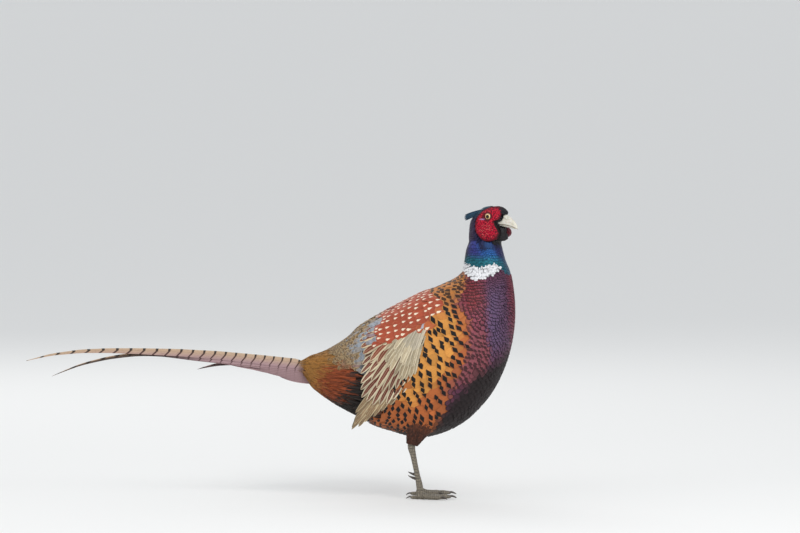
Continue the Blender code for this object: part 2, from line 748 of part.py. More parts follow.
def build_tufts(mats):
    """The ear tufts, which stand back from the crown behind the eyes: narrow vanes on a short core."""
    ahead = TUFT_TIP - TUFT_ROOT
    outward = Vector((ahead.y, -ahead.x, 0)).normalized()
    if outward.y > 0:
        outward.negate()
    upward = outward.cross(ahead).normalized()
    if upward.z < 0:
        upward.negate()
    spine = [TUFT_ROOT.lerp(TUFT_TIP, s) for s in (0.0, 0.12, 0.28, 0.42)]
    tuft = tube("ear_tuft_right", spine, [2.8, 3.9, 3.6, 1.0], sides=8, squash=0.6)
    blades = []
    for turn, length, stand_off in TUFT_VANES:
        away = (ahead + upward * ahead.length * math.tan(math.radians(turn))) * length
        side = outward.cross(away).normalized()
        sections, inwards = [], []
        for s, width in SHORT_VANE_SHAPE:
            middle = TUFT_ROOT + away * (0.08 + 0.92 * s) + outward * stand_off * (0.5 + 0.5 * s)
            middle = middle + upward * 1.6 * math.sin(math.pi * s)
            sections.append([middle - side * 2.5 * width, middle, middle + side * 2.5 * width])
            inwards.append(-outward)
        blades.append(vane("blade", sections, inwards))
    joined(tuft, blades)
    other = mirrored(tuft, "ear_tuft_left")
    for obj in (tuft, other):
        turn_with_head(obj)
        clear_of(obj, "head", "neck", "wattle_right", "wattle_left")
        largest_surface(obj)
        obj.data.materials.clear()
        obj.data.materials.append(mats["neck"])


# The legs, from the hip inside the body to the sole: X, Y and Z for the left leg, and the radius there.
HIP_SIDE = 36.0
THIGH_LINE = [
    (256.0, 36.0, 176.0, 36.0), (250.0, 36.5, 150.0, 33.0), (242.0, 36.8, 126.0, 25.0),
    (232.0, 36.5, 104.0, 14.5), (225.5, 36.0, 89.0, 8.6),
]
SHANK_LINE = [
    (227.0, 36.0, 100.0, 5.2), (224.5, 36.0, 90.0, 6.4), (224.0, 36.0, 82.0, 6.2), (226.0, 36.0, 72.0, 4.6),
    (230.0, 36.0, 52.0, 3.9), (234.0, 36.0, 32.0, 4.0), (237.0, 36.0, 17.0, 5.2), (238.5, 36.0, 7.0, 5.0),
]
SOLE_CENTRE = Vector((239.0, 36.0, 6.0))
TOES = [
    ("inner", 32.0, 36.0, 4.3),
    ("middle", 2.0, 48.0, 4.7),
    ("outer", -28.0, 38.0, 4.3),
    ("hind", 168.0, 17.0, 3.4),
]
CLAW_LENGTH = 10.5


def build_legs(mats, cutters):
    """Feathered thighs, scaled shanks with a spur, and feet with claws, all on both sides."""
    floor = box("floor_cutter", (150, -150, -60), (350, 150, 0.0), cutters)
    for side, sign in (("right", -1), ("left", 1)):
        thigh = limb("thigh_" + side, THIGH_LINE, sign, 8, 14, 0.78)
        clear_of(thigh, "torso")
        largest_surface(thigh)
        thigh.data.materials.append(mats["thigh"])
        shank = limb("shank_" + side, SHANK_LINE, sign, 14, 10, 0.8)
        block = swollen(thigh, cutters)
        boolean(shank, block, "DIFFERENCE")
        largest_surface(shank)
        shank.data.materials.append(mats["leg"])
        build_foot(side, sign, mats, cutters, floor)
        shank_block = swollen(shank, cutters)
        boolean(bpy.data.objects["foot_" + side], shank_block, "DIFFERENCE")
        largest_surface(bpy.data.objects["foot_" + side])
        build_spur(side, sign, mats, shank_block)


def limb(name, line, sign, steps, sides, squash):
    """A length of leg along a smooth line of points with their radii, on the side that sign gives."""
    rows = [blended(line, (len(line) - 1) * i / steps) for i in range(steps + 1)]
    return tube(name, [(x, y * sign, z) for x, y, z, _ in rows], [row[3] for row in rows], sides, squash)


def box(name, low, high, collection):
    bm = bmesh.new()
    bmesh.ops.create_cube(bm, size=1.0)
    bmesh.ops.scale(bm, vec=[(b - a) * MM for a, b in zip(low, high)], verts=bm.verts)
    bmesh.ops.translate(bm, vec=[(a + b) / 2 * MM for a, b in zip(low, high)], verts=bm.verts)
    mesh = bpy.data.meshes.new(name)
    bm.to_mesh(mesh)
    bm.free()
    obj = bpy.data.objects.new(name, mesh)
    collection.objects.link(obj)
    return obj


def toe_path(sign, turn, length, radius):
    """The line of one toe along the floor, with its joints a little raised."""
    away = Vector((math.cos(math.radians(turn)), -sign * math.sin(math.radians(turn)), 0))
    start = Vector((SOLE_CENTRE.x, SOLE_CENTRE.y * sign, 0))
    lift = radius * 0.86
    shares = (0.0, 0.2, 0.38, 0.55, 0.78, 1.0)
    points = []
    for k, share in enumerate(shares):
        point = start + away * length * share
        point.z = lift + (3.2 * (1 - share / 0.4) ** 2 if share < 0.4 else 0.0)
        points.append(point)
    radii = [radius * r for r in (1.05, 0.94, 1.0, 0.88, 0.9, 0.5)]
    return points, radii, away


def build_foot(side, sign, mats, cutters, floor):
    sole = ellipsoid("foot_" + side, (SOLE_CENTRE.x, SOLE_CENTRE.y * sign, SOLE_CENTRE.z), (8.0, 7.2, 6.6), 10, 7)
    toes = []
    for name, turn, length, radius in TOES:
        points, radii, away = toe_path(sign, turn, length, radius)
        toes.append(tube("toe", points, radii, sides=6))
        claw(side, name, points[-1], away, radius, mats)
    joined(sole, toes)
    boolean(sole, floor, "DIFFERENCE")
    for name, *_ in TOES:
        block = swollen(bpy.data.objects["claw_" + side + "_" + name], cutters)
        boolean(sole, block, "DIFFERENCE")
    largest_surface(sole)
    sole.data.materials.append(mats["leg"])


def claw(side, name, tip, away, radius, mats):
    """A blunt, slightly hooked claw on the end of a toe."""
    start = Vector(tip) - away * 1.2
    size = CLAW_LENGTH * (0.8 if name == "hind" else 1.0)
    points = [start + away * size * s + Vector((0, 0, dz)) for s, dz in
              ((0.0, 0.6), (0.3, 0.9), (0.6, 0.0), (0.85, -1.3), (1.0, -2.1))]
    tube("claw_" + side + "_" + name, points, [radius * r for r in (0.42, 0.4, 0.33, 0.22, 0.1)],
         sides=6, material=mats["claw"])


def build_spur(side, sign, mats, shank_block):
    root = Vector((233.5, HIP_SIDE * sign, 33.0))
    points = [root + Vector((-d, -sign * d * 0.18, d * d * 0.022)) for d in (0.0, 4.0, 8.0, 12.0, 15.0)]
    spur = tube("spur_" + side, points, [3.0, 2.6, 1.9, 1.1, 0.4], sides=8, material=mats["claw"])
    boolean(spur, shank_block, "DIFFERENCE")
    largest_surface(spur)


def build_materials():
    return {
        "body": material("body_feathers", (0.36, 0.13, 0.06), 0.6),
        "neck": material("neck_feathers", (0.03, 0.08, 0.20), 0.35, 0.3),
        "wattle": material("red_face", (0.55, 0.01, 0.03), 0.55),
        "eye": material("eye", (0.75, 0.50, 0.12), 0.1),
        "bill": material("bill_horn", (0.68, 0.64, 0.50), 0.4),
        "wing": material("wing_feathers", (0.45, 0.36, 0.25), 0.6),
        "tail": material("tail_feathers", (0.50, 0.36, 0.28), 0.6),
        "thigh": material("thigh_feathers", (0.16, 0.07, 0.04), 0.7),
        "leg": material("leg_scales", (0.30, 0.28, 0.25), 0.5),
        "claw": material("claw_horn", (0.12, 0.10, 0.09), 0.4),
    }


def main():
    mats = build_materials()
    cutters = bpy.data.collections.new("cutters")
    bpy.context.scene.collection.children.link(cutters)
    build_body(mats, cutters)
    build_face(mats, cutters)
    build_bill(mats, cutters)
    build_tufts(mats)
    build_wings(mats)
    build_tail(mats)
    build_legs(mats, cutters)
    for obj in cutters.objects:
        obj.hide_render = True
        obj.display_type = "WIRE"
    for obj in PARTS.objects:
        obj.data.shade_smooth()
        obj.data.set_sharp_from_angle(angle=math.radians(40))


for old in list(bpy.data.objects):
    bpy.data.objects.remove(old)
PARTS = bpy.data.collections.new("pheasant")
bpy.context.scene.collection.children.link(PARTS)
main()
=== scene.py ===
"""Dresses the life-size cock pheasant: skin, feathers, red face, eyes, bill, wings, tail, legs and feet."""
import math

import bmesh
import bpy
import numpy as np
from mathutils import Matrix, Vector


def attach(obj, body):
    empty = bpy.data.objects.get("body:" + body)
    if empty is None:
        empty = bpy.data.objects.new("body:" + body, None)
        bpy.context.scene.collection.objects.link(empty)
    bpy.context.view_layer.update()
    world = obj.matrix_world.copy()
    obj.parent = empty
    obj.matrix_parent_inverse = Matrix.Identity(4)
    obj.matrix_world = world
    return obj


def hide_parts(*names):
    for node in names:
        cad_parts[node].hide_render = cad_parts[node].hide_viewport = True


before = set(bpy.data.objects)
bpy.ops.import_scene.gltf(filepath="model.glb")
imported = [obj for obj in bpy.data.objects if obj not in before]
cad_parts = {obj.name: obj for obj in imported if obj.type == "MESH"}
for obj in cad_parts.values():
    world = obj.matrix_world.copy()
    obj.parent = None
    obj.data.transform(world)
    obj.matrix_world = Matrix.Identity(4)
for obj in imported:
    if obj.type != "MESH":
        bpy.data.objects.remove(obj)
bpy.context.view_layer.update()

chance = np.random.default_rng(21)
MM = 0.001
SIDES = (("right", -1), ("left", 1))


def paint(code):
    """A colour from its usual six-figure code, as light."""
    parts = np.array([int(code[i:i + 2], 16) / 255 for i in (0, 2, 4)])
    return np.where(parts <= 0.04045, parts / 12.92, ((parts + 0.055) / 1.055) ** 2.4)


# Node writing

class Value:
    """A socket that takes part in arithmetic."""

    def __init__(self, finish, socket):
        self.finish, self.socket = finish, socket

    def math(self, operation, *terms):
        return self.finish.node("Math", {"operation": operation}, dict(enumerate(terms)))

    def __add__(self, other): return self.math("ADD", self, other)
    def __sub__(self, other): return self.math("SUBTRACT", self, other)
    def __mul__(self, other): return self.math("MULTIPLY", self, other)
    def __pow__(self, other): return self.math("POWER", self, other)
    def __rsub__(self, other): return self.math("SUBTRACT", other, self)
    def __abs__(self): return self.math("ABSOLUTE", self)
    __radd__, __rmul__ = __add__, __mul__

    def sine(self): return self.math("SINE", self)
    def part(self): return self.math("FRACT", self)
    def most(self, other): return self.math("MAXIMUM", self, other)


class Finish:
    """A material in the making, on one Principled shader. Colours are given as six-figure codes."""

    def __init__(self, name, **uniform):
        self.material = bpy.data.materials.new(name)
        self.material.use_nodes = True
        self.tree = self.material.node_tree
        self.tree.nodes.clear()
        self.shader = self.tree.nodes.new("ShaderNodeBsdfPrincipled")
        out = self.tree.nodes.new("ShaderNodeOutputMaterial")
        self.tree.links.new(self.shader.outputs[0], out.inputs[0])
        self.set(**uniform)

    def put(self, socket, value):
        if isinstance(value, Value):
            self.tree.links.new(value.socket, socket)
        else:
            socket.default_value = (*map(float, paint(value)), 1.0) if isinstance(value, str) else value

    def node(self, kind, settings=None, values=None, output=0):
        made = self.tree.nodes.new("ShaderNode" + kind)
        for key, value in (settings or {}).items():
            setattr(made, key, value)
        for key, value in (values or {}).items():
            self.put(made.inputs[key], value)
        return Value(self, made.outputs[output])

    def mix(self, share, a, b):
        return self.node("Mix", {"data_type": "RGBA"}, {0: share, 6: a, 7: b}, 2)

    def fade(self, value, low, high):
        """0 below low, 1 above high, smooth between."""
        return self.node("MapRange", {"interpolation_type": "SMOOTHSTEP"}, {0: value, 1: low, 2: high})

    def spread(self, name, output="Color"):
        """An attribute that is stored on the mesh."""
        node = {"Color": 0, "Vector": 1, "Value": 2, "Alpha": 3}[output]
        return self.node("Attribute", {"attribute_name": name}, output=node)

    def three(self, vector):
        return [self.node("SeparateXYZ", None, {0: vector}, k) for k in range(3)]

    def place(self, scale=(1, 1, 1)):
        """The place on the object at rest, scaled."""
        return self.node("Mapping", None, {"Vector": self.node("TexCoord", output=3), "Scale": scale})

    def noise(self, vector, scale, detail=2.0, rough=0.5):
        values = {"Vector": vector, "Scale": scale, "Detail": detail, "Roughness": rough}
        return self.node("TexNoise", None, values)

    def tint(self, colour, tone):
        """A colour made darker or lighter by a tone round 1."""
        return self.node("VectorMath", {"operation": "SCALE"}, {0: colour, "Scale": tone})

    def set(self, **sockets):
        for key, value in sockets.items():
            self.put(self.shader.inputs[key.replace("_", " ")], value)

    def bump(self, height, strength, distance):
        values = {"Height": height, "Strength": strength, "Distance": distance}
        self.set(Normal=self.node("Bump", None, values))
        return self


class VaneFinish(Finish):
    """A finish for vanes: u across and v along, side in shares of the half width, and each one's own luck."""

    def __init__(self, name, **uniform):
        super().__init__(name, **uniform)
        self.u, self.v, self.side = self.three(self.spread("Vane", "Vector"))
        self.luck = self.spread("Draw", "Value")

    def looks(self):
        """The ground, rim and mark colours, and four amounts."""
        kinds = self.three(self.spread("Kinds", "Vector"))
        colours = [self.spread(key) for key in ("Ground", "Rim", "Mark")]
        return colours + kinds + [self.spread("Kinds", "Alpha")]

    def barbs(self, across, shift, along, slant, apart, scale, detail, rough):
        """Streaks that slant from the shaft, and differ from vane to vane."""
        across, along = self.side * across + self.luck * shift, self.v * along - abs(self.side) * slant
        comb = self.node("CombineXYZ", None, {0: across, 1: along, 2: self.luck * apart})
        return self.noise(comb, scale, detail, rough)


# The shape of the body, as the solids have it, in millimetres

HEAD_TURN, HEAD_X, HEAD_Z = math.radians(28.0), 345.0, 441.6
TURN_STARTS_Z, TURN_ENDS_Z = 372.0, 425.0
HEAD_STATIONS = [
    ((3.0, 25.2), (21.0, 25.2), 5.0, 0.10), ((-4.5, 23.0), (28.0, 23.4), 9.0, 0.15),
    ((-11.0, 19.0), (34.0, 19.6), 12.2, 0.22), ((-18.5, 13.5), (37.5, 14.5), 14.6, 0.32),
    ((-24.0, 6.5), (37.0, 7.0), 16.4, 0.40), ((-27.5, -2.0), (34.0, -1.0), 17.8, 0.40),
    ((-29.0, -11.0), (30.5, -10.0), 19.4, 0.26), ((-29.5, -20.0), (28.5, -20.0), 21.0, 0.12),
    ((-29.4, -26.5), (26.4, -27.0), 22.3, 0.04),
]
BODY_STATIONS = [
    ((316.0, 409.4), (367.0, 409.4), 24.0, 0.0), ((312.5, 398.4), (369.3, 397.2), 26.5, 0.0),
    ((310.1, 384.6), (374.2, 379.6), 30.0, 0.0), ((308.6, 373.4), (383.4, 354.0), 35.5, 0.0),
    ((306.6, 365.0), (389.0, 309.0), 44.0, 0.0), ((302.6, 357.6), (386.6, 262.0), 53.0, 0.0),
    ((292.0, 349.6), (373.6, 211.0), 62.0, 0.0), ((271.0, 340.0), (347.0, 161.0), 68.5, 0.0),
    ((240.8, 327.0), (302.0, 118.0), 71.5, 0.0), ((205.6, 309.6), (243.0, 97.6), 70.0, 0.0),
    ((170.4, 289.4), (183.0, 110.4), 64.5, 0.0), ((136.8, 267.0), (131.0, 134.4), 55.0, 0.0),
    ((106.4, 246.0), (96.0, 154.0), 45.5, 0.0), ((77.0, 231.5), (70.0, 173.0), 32.5, 0.0),
    ((45.0, 224.4), (48.0, 191.0), 19.0, 0.0),
]
STATIONS = np.array(
    [(HEAD_X + b[0], HEAD_Z + b[1], HEAD_X + f[0], HEAD_Z + f[1], w, p) for b, f, w, p in HEAD_STATIONS]
    + [(*b, *f, w, p) for b, f, w, p in BODY_STATIONS]
    + [(4.0, 227.0, 10.0, 195.0, 11.0, 0.0)]  # the plumage runs on over the tail root
)
CROWN_POLE = (12.0, 26.2)
LAST_STATION = 23


def curve(rows, t):
    """Values between rows of numbers, on a curve that runs smoothly through every row."""
    rows, t = np.asarray(rows, float), np.asarray(t, float)
    i = np.clip(t.astype(int), 0, len(rows) - 2)
    s = (t - i)[..., None]
    p = [rows[np.clip(i + k, 0, len(rows) - 1)] for k in (-1, 0, 1, 2)]
    return (
        p[0] * (-s + 2 * s ** 2 - s ** 3) / 2 + p[1] * (2 - 5 * s ** 2 + 3 * s ** 3) / 2
        + p[2] * (s + 4 * s ** 2 - 3 * s ** 3) / 2 + p[3] * (s ** 3 - s ** 2) / 2
    )


def smooth(value, low=0.0, high=1.0):
    s = np.clip((value - low) / (high - low), 0, 1)
    return s * s * (3 - 2 * s)


def turned(points, z):
    """Points turned with the head, by the share of the turn that the neck has taken at height z."""
    angle = HEAD_TURN * smooth(z, TURN_STARTS_Z, TURN_ENDS_Z)
    x, y = points[..., 0] - HEAD_X, points[..., 1]
    return np.stack([
        HEAD_X + x * np.cos(angle) + y * np.sin(angle), y * np.cos(angle) - x * np.sin(angle), points[..., 2]
    ], -1)


def unit(vectors):
    return vectors / np.maximum(np.linalg.norm(vectors, axis=-1, keepdims=True), 1e-9)


class Form:
    """A rounded form swept along stations t, with the angle a round it."""

    def __init__(self, point):
        self.point = point

    def lie(self, t, a):
        """The place, the ways along t and a, and the way out."""
        p = self.point(t, a)
        along = (self.point(t + 0.01, a) - self.point(t - 0.01, a)) / 0.02
        round_ = (self.point(t, a + 0.01) - self.point(t, a - 0.01)) / 0.02
        return p, along, round_, unit(np.cross(round_, along))


def body_point(t, a):
    bx, bz, fx, fz, width, narrow = np.moveaxis(curve(STATIONS, np.clip(t, 0, LAST_STATION + 0.99)), -1, 0)
    mx, mz = (bx + fx) / 2, (bz + fz) / 2
    x, z = mx + (bx - fx) / 2 * np.cos(a), mz + (bz - fz) / 2 * np.cos(a)
    return turned(np.stack([x, width * np.sin(a) * (1 + narrow * np.cos(a)), z], -1), mz)


THIGH_LINE = [
    (256.0, 36.0, 176.0, 36.0), (250.0, 36.5, 150.0, 33.0), (242.0, 36.8, 126.0, 25.0),
    (232.0, 36.5, 104.0, 14.5), (225.5, 36.0, 89.0, 8.6),
]


def thigh_form(sign):
    def point(t, a):
        x, y, z, r = np.moveaxis(curve(THIGH_LINE, t), -1, 0)
        lean = np.stack([r * np.cos(a), sign * 0.8 * r * np.sin(a), -0.25 * r * np.cos(a)], -1)
        return np.stack([x, y * sign, z], -1) + lean
    return Form(point)


BODY = Form(body_point)


# Markings, sketched in side view on squares of 1.6 mm

SQUARE_MM, SKETCH_ZERO = 1.6, (271.5, 498)


def sketched(points):
    """Squares of the sketch, counted to the right and down, as places ahead and up."""
    return (np.array(points) - SKETCH_ZERO) * [SQUARE_MM, -SQUARE_MM]


def near_line(x, z, line):
    """How far places lie from a line of straight lengths."""
    nearest = np.full(np.shape(x), 1e9)
    for (x0, z0), (x1, z1) in zip(line, line[1:]):
        share = ((x - x0) * (x1 - x0) + (z - z0) * (z1 - z0)) / ((x1 - x0) ** 2 + (z1 - z0) ** 2)
        share = np.clip(share, 0, 1)
        nearest = np.minimum(nearest, np.hypot(x - x0 - share * (x1 - x0), z - z0 - share * (z1 - z0)))
    return nearest


def depth_in(x, z, outline):
    """How deep places lie inside an outline in side view, in millimetres, negative outside."""
    closed = np.concatenate([outline, outline[:1]])
    inside = np.zeros(np.shape(x), bool)
    for (x0, z0), (x1, z1) in zip(closed, closed[1:]):
        crosses = (z0 > z) != (z1 > z)
        inside ^= crosses & (x < (x1 - x0) * (z - z0) / (z1 - z0 + 1e-12) + x0)
    return near_line(x, z, closed) * np.where(inside, 1, -1)


# name, softness in millimetres, ground, rim and mark colours, amounts of rim, tip bar, spot and gloss, outline
AREAS = [
    ("breast", 10, ("5c3048", "14080f", "000000"), (1, 0, 0, 0.55), [
        (440, 255), (530, 255), (530, 430), (430, 430)]),
    # a paler grey-violet patch on the breast: painted sheen, over the feathers' own violet
    ("breast", 24, ("624c6c", "120c1c", "000000"), (1, 0, 0, 0.6), [
        (485, 290), (502, 284), (506, 342), (490, 354), (478, 325)]),
    ("breast", 7, ("78283a", "220a14", "000000"), (0.9, 0, 0, 0.5), [
        (505, 255), (530, 255), (530, 372), (511, 372), (510, 310)]),
    ("breast", 9, ("86404e", "1a0a14", "0c0408"), (0.9, 0.6, 0, 0.45), [
        (470, 275), (484, 278), (486, 330), (484, 356), (478, 378), (458, 374), (464, 345), (466, 318),
        (462, 296)]),
    ("breast", 8, ("8e4c54", "2a1220", "0a0406"), (0.6, 0.8, 0, 0.4), [
        (466, 330), (482, 330), (490, 352), (484, 372), (464, 384), (450, 384), (459, 362)]),
    ("breast", 8, ("8e3a40", "1c0a0e", "0a0406"), (0.8, 0.6, 0, 0.35), [
        (460, 279), (476, 280), (481, 300), (468, 314), (460, 300)]),
    ("flank", 9, ("b0602e", "8c4a26", "090504"), (0.3, 1, 0, 0.15), [
        (424, 318), (454, 298), (468, 322), (466, 350), (456, 374), (448, 392), (436, 430), (396, 428),
        (368, 422), (388, 396), (412, 364), (408, 336)]),
    ("flank", 9, ("d08e40", "c07c3a", "090504"), (0.3, 1, 0, 0.1), [
        (424, 326), (450, 304), (458, 322), (455, 346), (445, 368), (430, 385), (410, 402), (398, 396),
        (414, 366), (412, 338)]),
    ("mantle", 5, ("b87438", "d29c5c", "140a06"), (0.35, 0.9, 0, 0.15), [
        (466, 273), (464, 283), (458, 297), (440, 309), (428, 305), (426, 292), (445, 279)]),
    ("belly", 10, ("1c1012", "0a0607", "000000"), (0.5, 0, 0, 0.25), [
        (474, 372), (488, 366), (520, 344), (530, 430), (420, 440), (432, 420), (452, 400)]),
    ("belly", 8, ("241610", "0e0908", "000000"), (0.4, 0, 0, 0.05), [
        (330, 428), (440, 430), (530, 432), (530, 470), (330, 470)]),
    ("scapulars", 4, ("a4482e", "c47e5c", "efe3ca"), (0.3, 0, 1, 0.1), [
        (366, 340), (376, 324), (396, 303), (428, 287), (436, 296), (446, 304), (434, 320), (424, 326),
        (411, 334), (392, 344), (376, 350)]),
    ("back", 4, ("979da6", "b3b1a8", "2c2a28"), (0.7, 0.3, 0, 0.1), [
        (344, 348), (358, 328), (380, 312), (384, 320), (378, 332), (368, 348), (365, 364), (354, 366)]),
    ("back", 5, ("9a7c54", "cbb07e", "2a1c14"), (0.8, 0.7, 0, 0.1), [
        (374, 300), (392, 296), (384, 312), (366, 332), (350, 345), (334, 356), (326, 348), (344, 330)]),
    ("back", 7, ("8e7656", "c4b088", "3c2c1e"), (0.9, 0.5, 0, 0.05), [
        (332, 350), (342, 342), (352, 348), (362, 362), (348, 366), (336, 364)]),
    ("rump", 8, ("94642a", "c89a50", "4a2c12"), (0.3, 0, 0, 0.2), [
        (280, 345), (330, 345), (338, 366), (330, 400), (310, 396), (280, 395)]),
    ("rump", 8, ("823a18", "a45a26", "2c120a"), (0.2, 0, 0, 0.15), [
        (330, 367), (344, 363), (357, 363), (358, 378), (348, 400), (326, 402), (322, 385)]),
    ("vent", 6, ("1f1713", "34281e", "000000"), (0.3, 0, 0, 0.05), [
        (340, 404), (352, 380), (361, 364), (376, 360), (372, 424), (330, 424), (318, 406)]),
    ("vent", 6, ("34291c", "4a3a22", "000000"), (0.3, 0, 0, 0.05), [
        (286, 384), (300, 386), (318, 400), (340, 410), (340, 440), (290, 440)]),
    ("wing_bed", 3, ("4a3224", "8a765c", "2a1810"), (0.6, 0, 0, 0.05), [
        (416, 338), (416, 345), (412, 364), (392, 384), (374, 400), (366, 402), (366, 388), (370, 370),
        (372, 358), (380, 354), (392, 348), (408, 340)]),
]
AREAS = [(n, s, [paint(c) for c in colours], np.array(k), sketched(o)) for n, s, colours, k, o in AREAS]
AREA_NAMES = [
    "breast", "flank", "mantle", "scapulars", "back", "rump",
    "belly", "vent", "ring", "neck", "crown", "wing_bed",
]
AREA = {name: k for k, name in enumerate(AREA_NAMES)}
NAPE, VIOLET, COBALT, TEAL, THROAT = (paint(c) for c in ("42344e", "3a3f86", "1f5596", "1b6876", "2c2c62"))
CROWN_TEAL, CHIN, UNDER_FACE_SHADE, WHITE = (paint(c) for c in ("2c4a58", "0e0c14", "171c40", "e6e6e8"))
# stations where the ring starts, it ends and the painted shade under the face ends, by degrees from the nape
# to the throat
RING_TOP = [0, 42, 67, 89, 112, 121, 134], [11.8, 11.88, 11.99, 11.65, 11.3, 11.5, 11.6]
RING_END = [0, 30, 55, 70, 87, 107, 124, 134], [13.5, 13.6, 13.35, 12.95, 12.5, 12.15, 11.85, 11.65]
SHADE_END = [60, 80, 92, 125], [8.3, 8.9, 9.7, 9.3]
RING_GAP, THROAT_END, CROWN_END = 134, 11.9, 4.5


def lerp(a, b, share):
    share = np.asarray(share)[..., None]
    return a * (1 - share) + b * share


def markings(t, a, p):
    """Ground, rim and mark colours, amounts and the area of places on the body."""
    x, z = p[..., 0], p[..., 2]
    ground, rim, mark = (np.broadcast_to(paint(c), (*x.shape, 3)) for c in ("33221a", "1a110d", "000000"))
    kinds, area = np.zeros((*x.shape, 4)), np.zeros(x.shape, int)
    for name, soft, (g, r, m), k, outline in AREAS:
        share = smooth(depth_in(x, z, outline), -soft, soft)
        inside = share > 0.5
        ground, rim = lerp(ground, g, share), lerp(rim, r, share)
        # marks change at once, so that a dark bar never mixes with a pale spot
        mark = np.where(inside[..., None], m, mark)
        bars = np.where(inside[..., None], k[1:3], kinds[..., 1:3])
        kinds = lerp(kinds, k, share)
        kinds[..., 1:3] = bars
        area = np.where(inside, AREA[name], area)
    turn = np.degrees(np.abs((a + math.pi) % (2 * math.pi) - math.pi))
    ring_top, ring_end, shade_end = (np.interp(turn, *rows) for rows in (RING_TOP, RING_END, SHADE_END))
    neck = lerp(lerp(NAPE, VIOLET, smooth(turn, 10, 60)), COBALT, smooth(turn, 65, 105))
    neck = lerp(neck, THROAT, smooth(turn, 120, 150))
    neck = lerp(neck, TEAL, smooth(t, 10.4, 11.3) * (1 - 0.5 * smooth(turn, 130, 160)))
    # painted shade under the red face: below it the neck is painted navy at the sides, going to the black of
    # the chin at the front
    painted_shade_under_face = lerp(lerp(NAPE, UNDER_FACE_SHADE, smooth(turn, 45, 85)), CHIN, smooth(turn, 95, 125))
    neck = lerp(neck, painted_shade_under_face, 1 - smooth(t, shade_end, shade_end + 0.9))
    neck = lerp(neck, lerp(CROWN_TEAL, CHIN, smooth(turn, 105, 130)), 1 - smooth(t, 2.5, 5.0))
    is_neck = (t < ring_top) | ((turn > RING_GAP) & (t < THROAT_END))
    is_ring = (t >= ring_top) & (t < ring_end) & (turn < RING_GAP)
    # where the neck is black it has hardly any gloss
    gloss = np.where(neck.sum(-1) < 0.06, 0.15, 0.8)
    neck_kinds = np.stack([0 * t + 0.9, 0 * t, 0 * t, gloss], -1)
    for here, g, r, k, name in (
        (is_neck, neck, neck * 0.2, neck_kinds, np.where(t < CROWN_END, AREA["crown"], AREA["neck"])),
        (is_ring, WHITE, WHITE * 0.8, np.array([0.3, 0, 0, 0]), AREA["ring"]),
    ):
        ground, rim, kinds = (np.where(here[..., None], *pair) for pair in ((g, ground), (r, rim), (k, kinds)))
        area = np.where(here, name, area)
    return ground, rim, mark, kinds, area


# Mesh making

# how values are stored, by how many there are on each point
STORED = {1: ("FLOAT", "value"), 3: ("FLOAT_VECTOR", "vector"), 4: ("FLOAT_COLOR", "color")}


def add_object(name, data):
    obj = bpy.data.objects.new(name, data)
    bpy.context.scene.collection.objects.link(obj)
    return obj


def piece(name, points, faces, finish, spreads=None, uv=None, sharp=None):
    """A mesh piece from points in millimetres and groups of like faces, with values stored on its points."""
    mesh = bpy.data.meshes.new(name)
    points = np.asarray(points, np.float32).reshape(-1, 3) * MM
    sizes = np.concatenate([np.full(len(group), group.shape[1]) for group in faces])
    loops = np.concatenate([group.ravel() for group in faces]).astype(np.int32)
    mesh.vertices.add(len(points))
    mesh.vertices.foreach_set("co", points.ravel())
    mesh.loops.add(len(loops))
    mesh.loops.foreach_set("vertex_index", loops)
    mesh.polygons.add(len(sizes))
    mesh.polygons.foreach_set("loop_start", np.concatenate([[0], np.cumsum(sizes)[:-1]]).astype(np.int32))
    mesh.update(calc_edges=True)
    for key, values in (spreads or {}).items():
        values = np.asarray(values, np.float32)
        kind, field = STORED[1 if values.ndim == 1 else values.shape[1]]
        mesh.attributes.new(key, kind, "POINT").data.foreach_set(field, values.ravel())
    if uv is not None:
        mesh.uv_layers.new(name="OFBake").uv.foreach_set("vector", np.asarray(uv, np.float32)[loops].ravel())
    obj = add_object(name, mesh)
    mesh.materials.append(finish.material)
    mesh.shade_smooth()
    if sharp:
        mesh.set_sharp_from_angle(angle=math.radians(sharp))
    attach(obj, "root")
    return obj


def on_both_sides(name, points, faces, finish, place=None, **more):
    """The right piece, and the left one as its mirror image, each with its side's name."""
    for side, sign in SIDES:
        mirrored = points * np.array([1, -sign, 1])
        groups = faces if sign < 0 else [group[:, ::-1] for group in faces]
        yield side, piece(name + "_" + side, place(mirrored) if place else mirrored, groups, finish, **more)


def recalculate(obj):
    bm = bmesh.new()
    bm.from_mesh(obj.data)
    bmesh.ops.recalc_face_normals(bm, faces=bm.faces)
    bm.to_mesh(obj.data)
    bm.free()


def rings(rows, sides, start=0):
    """Faces between rows of points that each close into a ring."""
    i, j = np.meshgrid(np.arange(rows - 1), np.arange(sides), indexing="ij")
    near, far, beside = start + i * sides, start + (i + 1) * sides, (j + 1) % sides
    return np.stack([near + j, near + beside, far + beside, far + j], -1).reshape(-1, 4)


def fan(pole, start, sides):
    """Faces from a pole to the ring of points that begins at start."""
    j = np.arange(sides)
    return np.stack([np.full(sides, pole), start + j, start + (j + 1) % sides], -1)


def around(sides):
    return np.arange(sides) * 2 * math.pi / sides


def ball(rows, sides):
    """A ball's points from pole to pole as cosine, across and up, the angle round it, and its faces."""
    polar, a = np.meshgrid(math.pi * np.arange(rows + 1) / rows, around(sides), indexing="ij")
    flat = [np.cos(polar), np.sin(polar) * np.cos(a), np.sin(polar) * np.sin(a), a]
    return *(values.ravel() for values in flat), rings(rows + 1, sides)


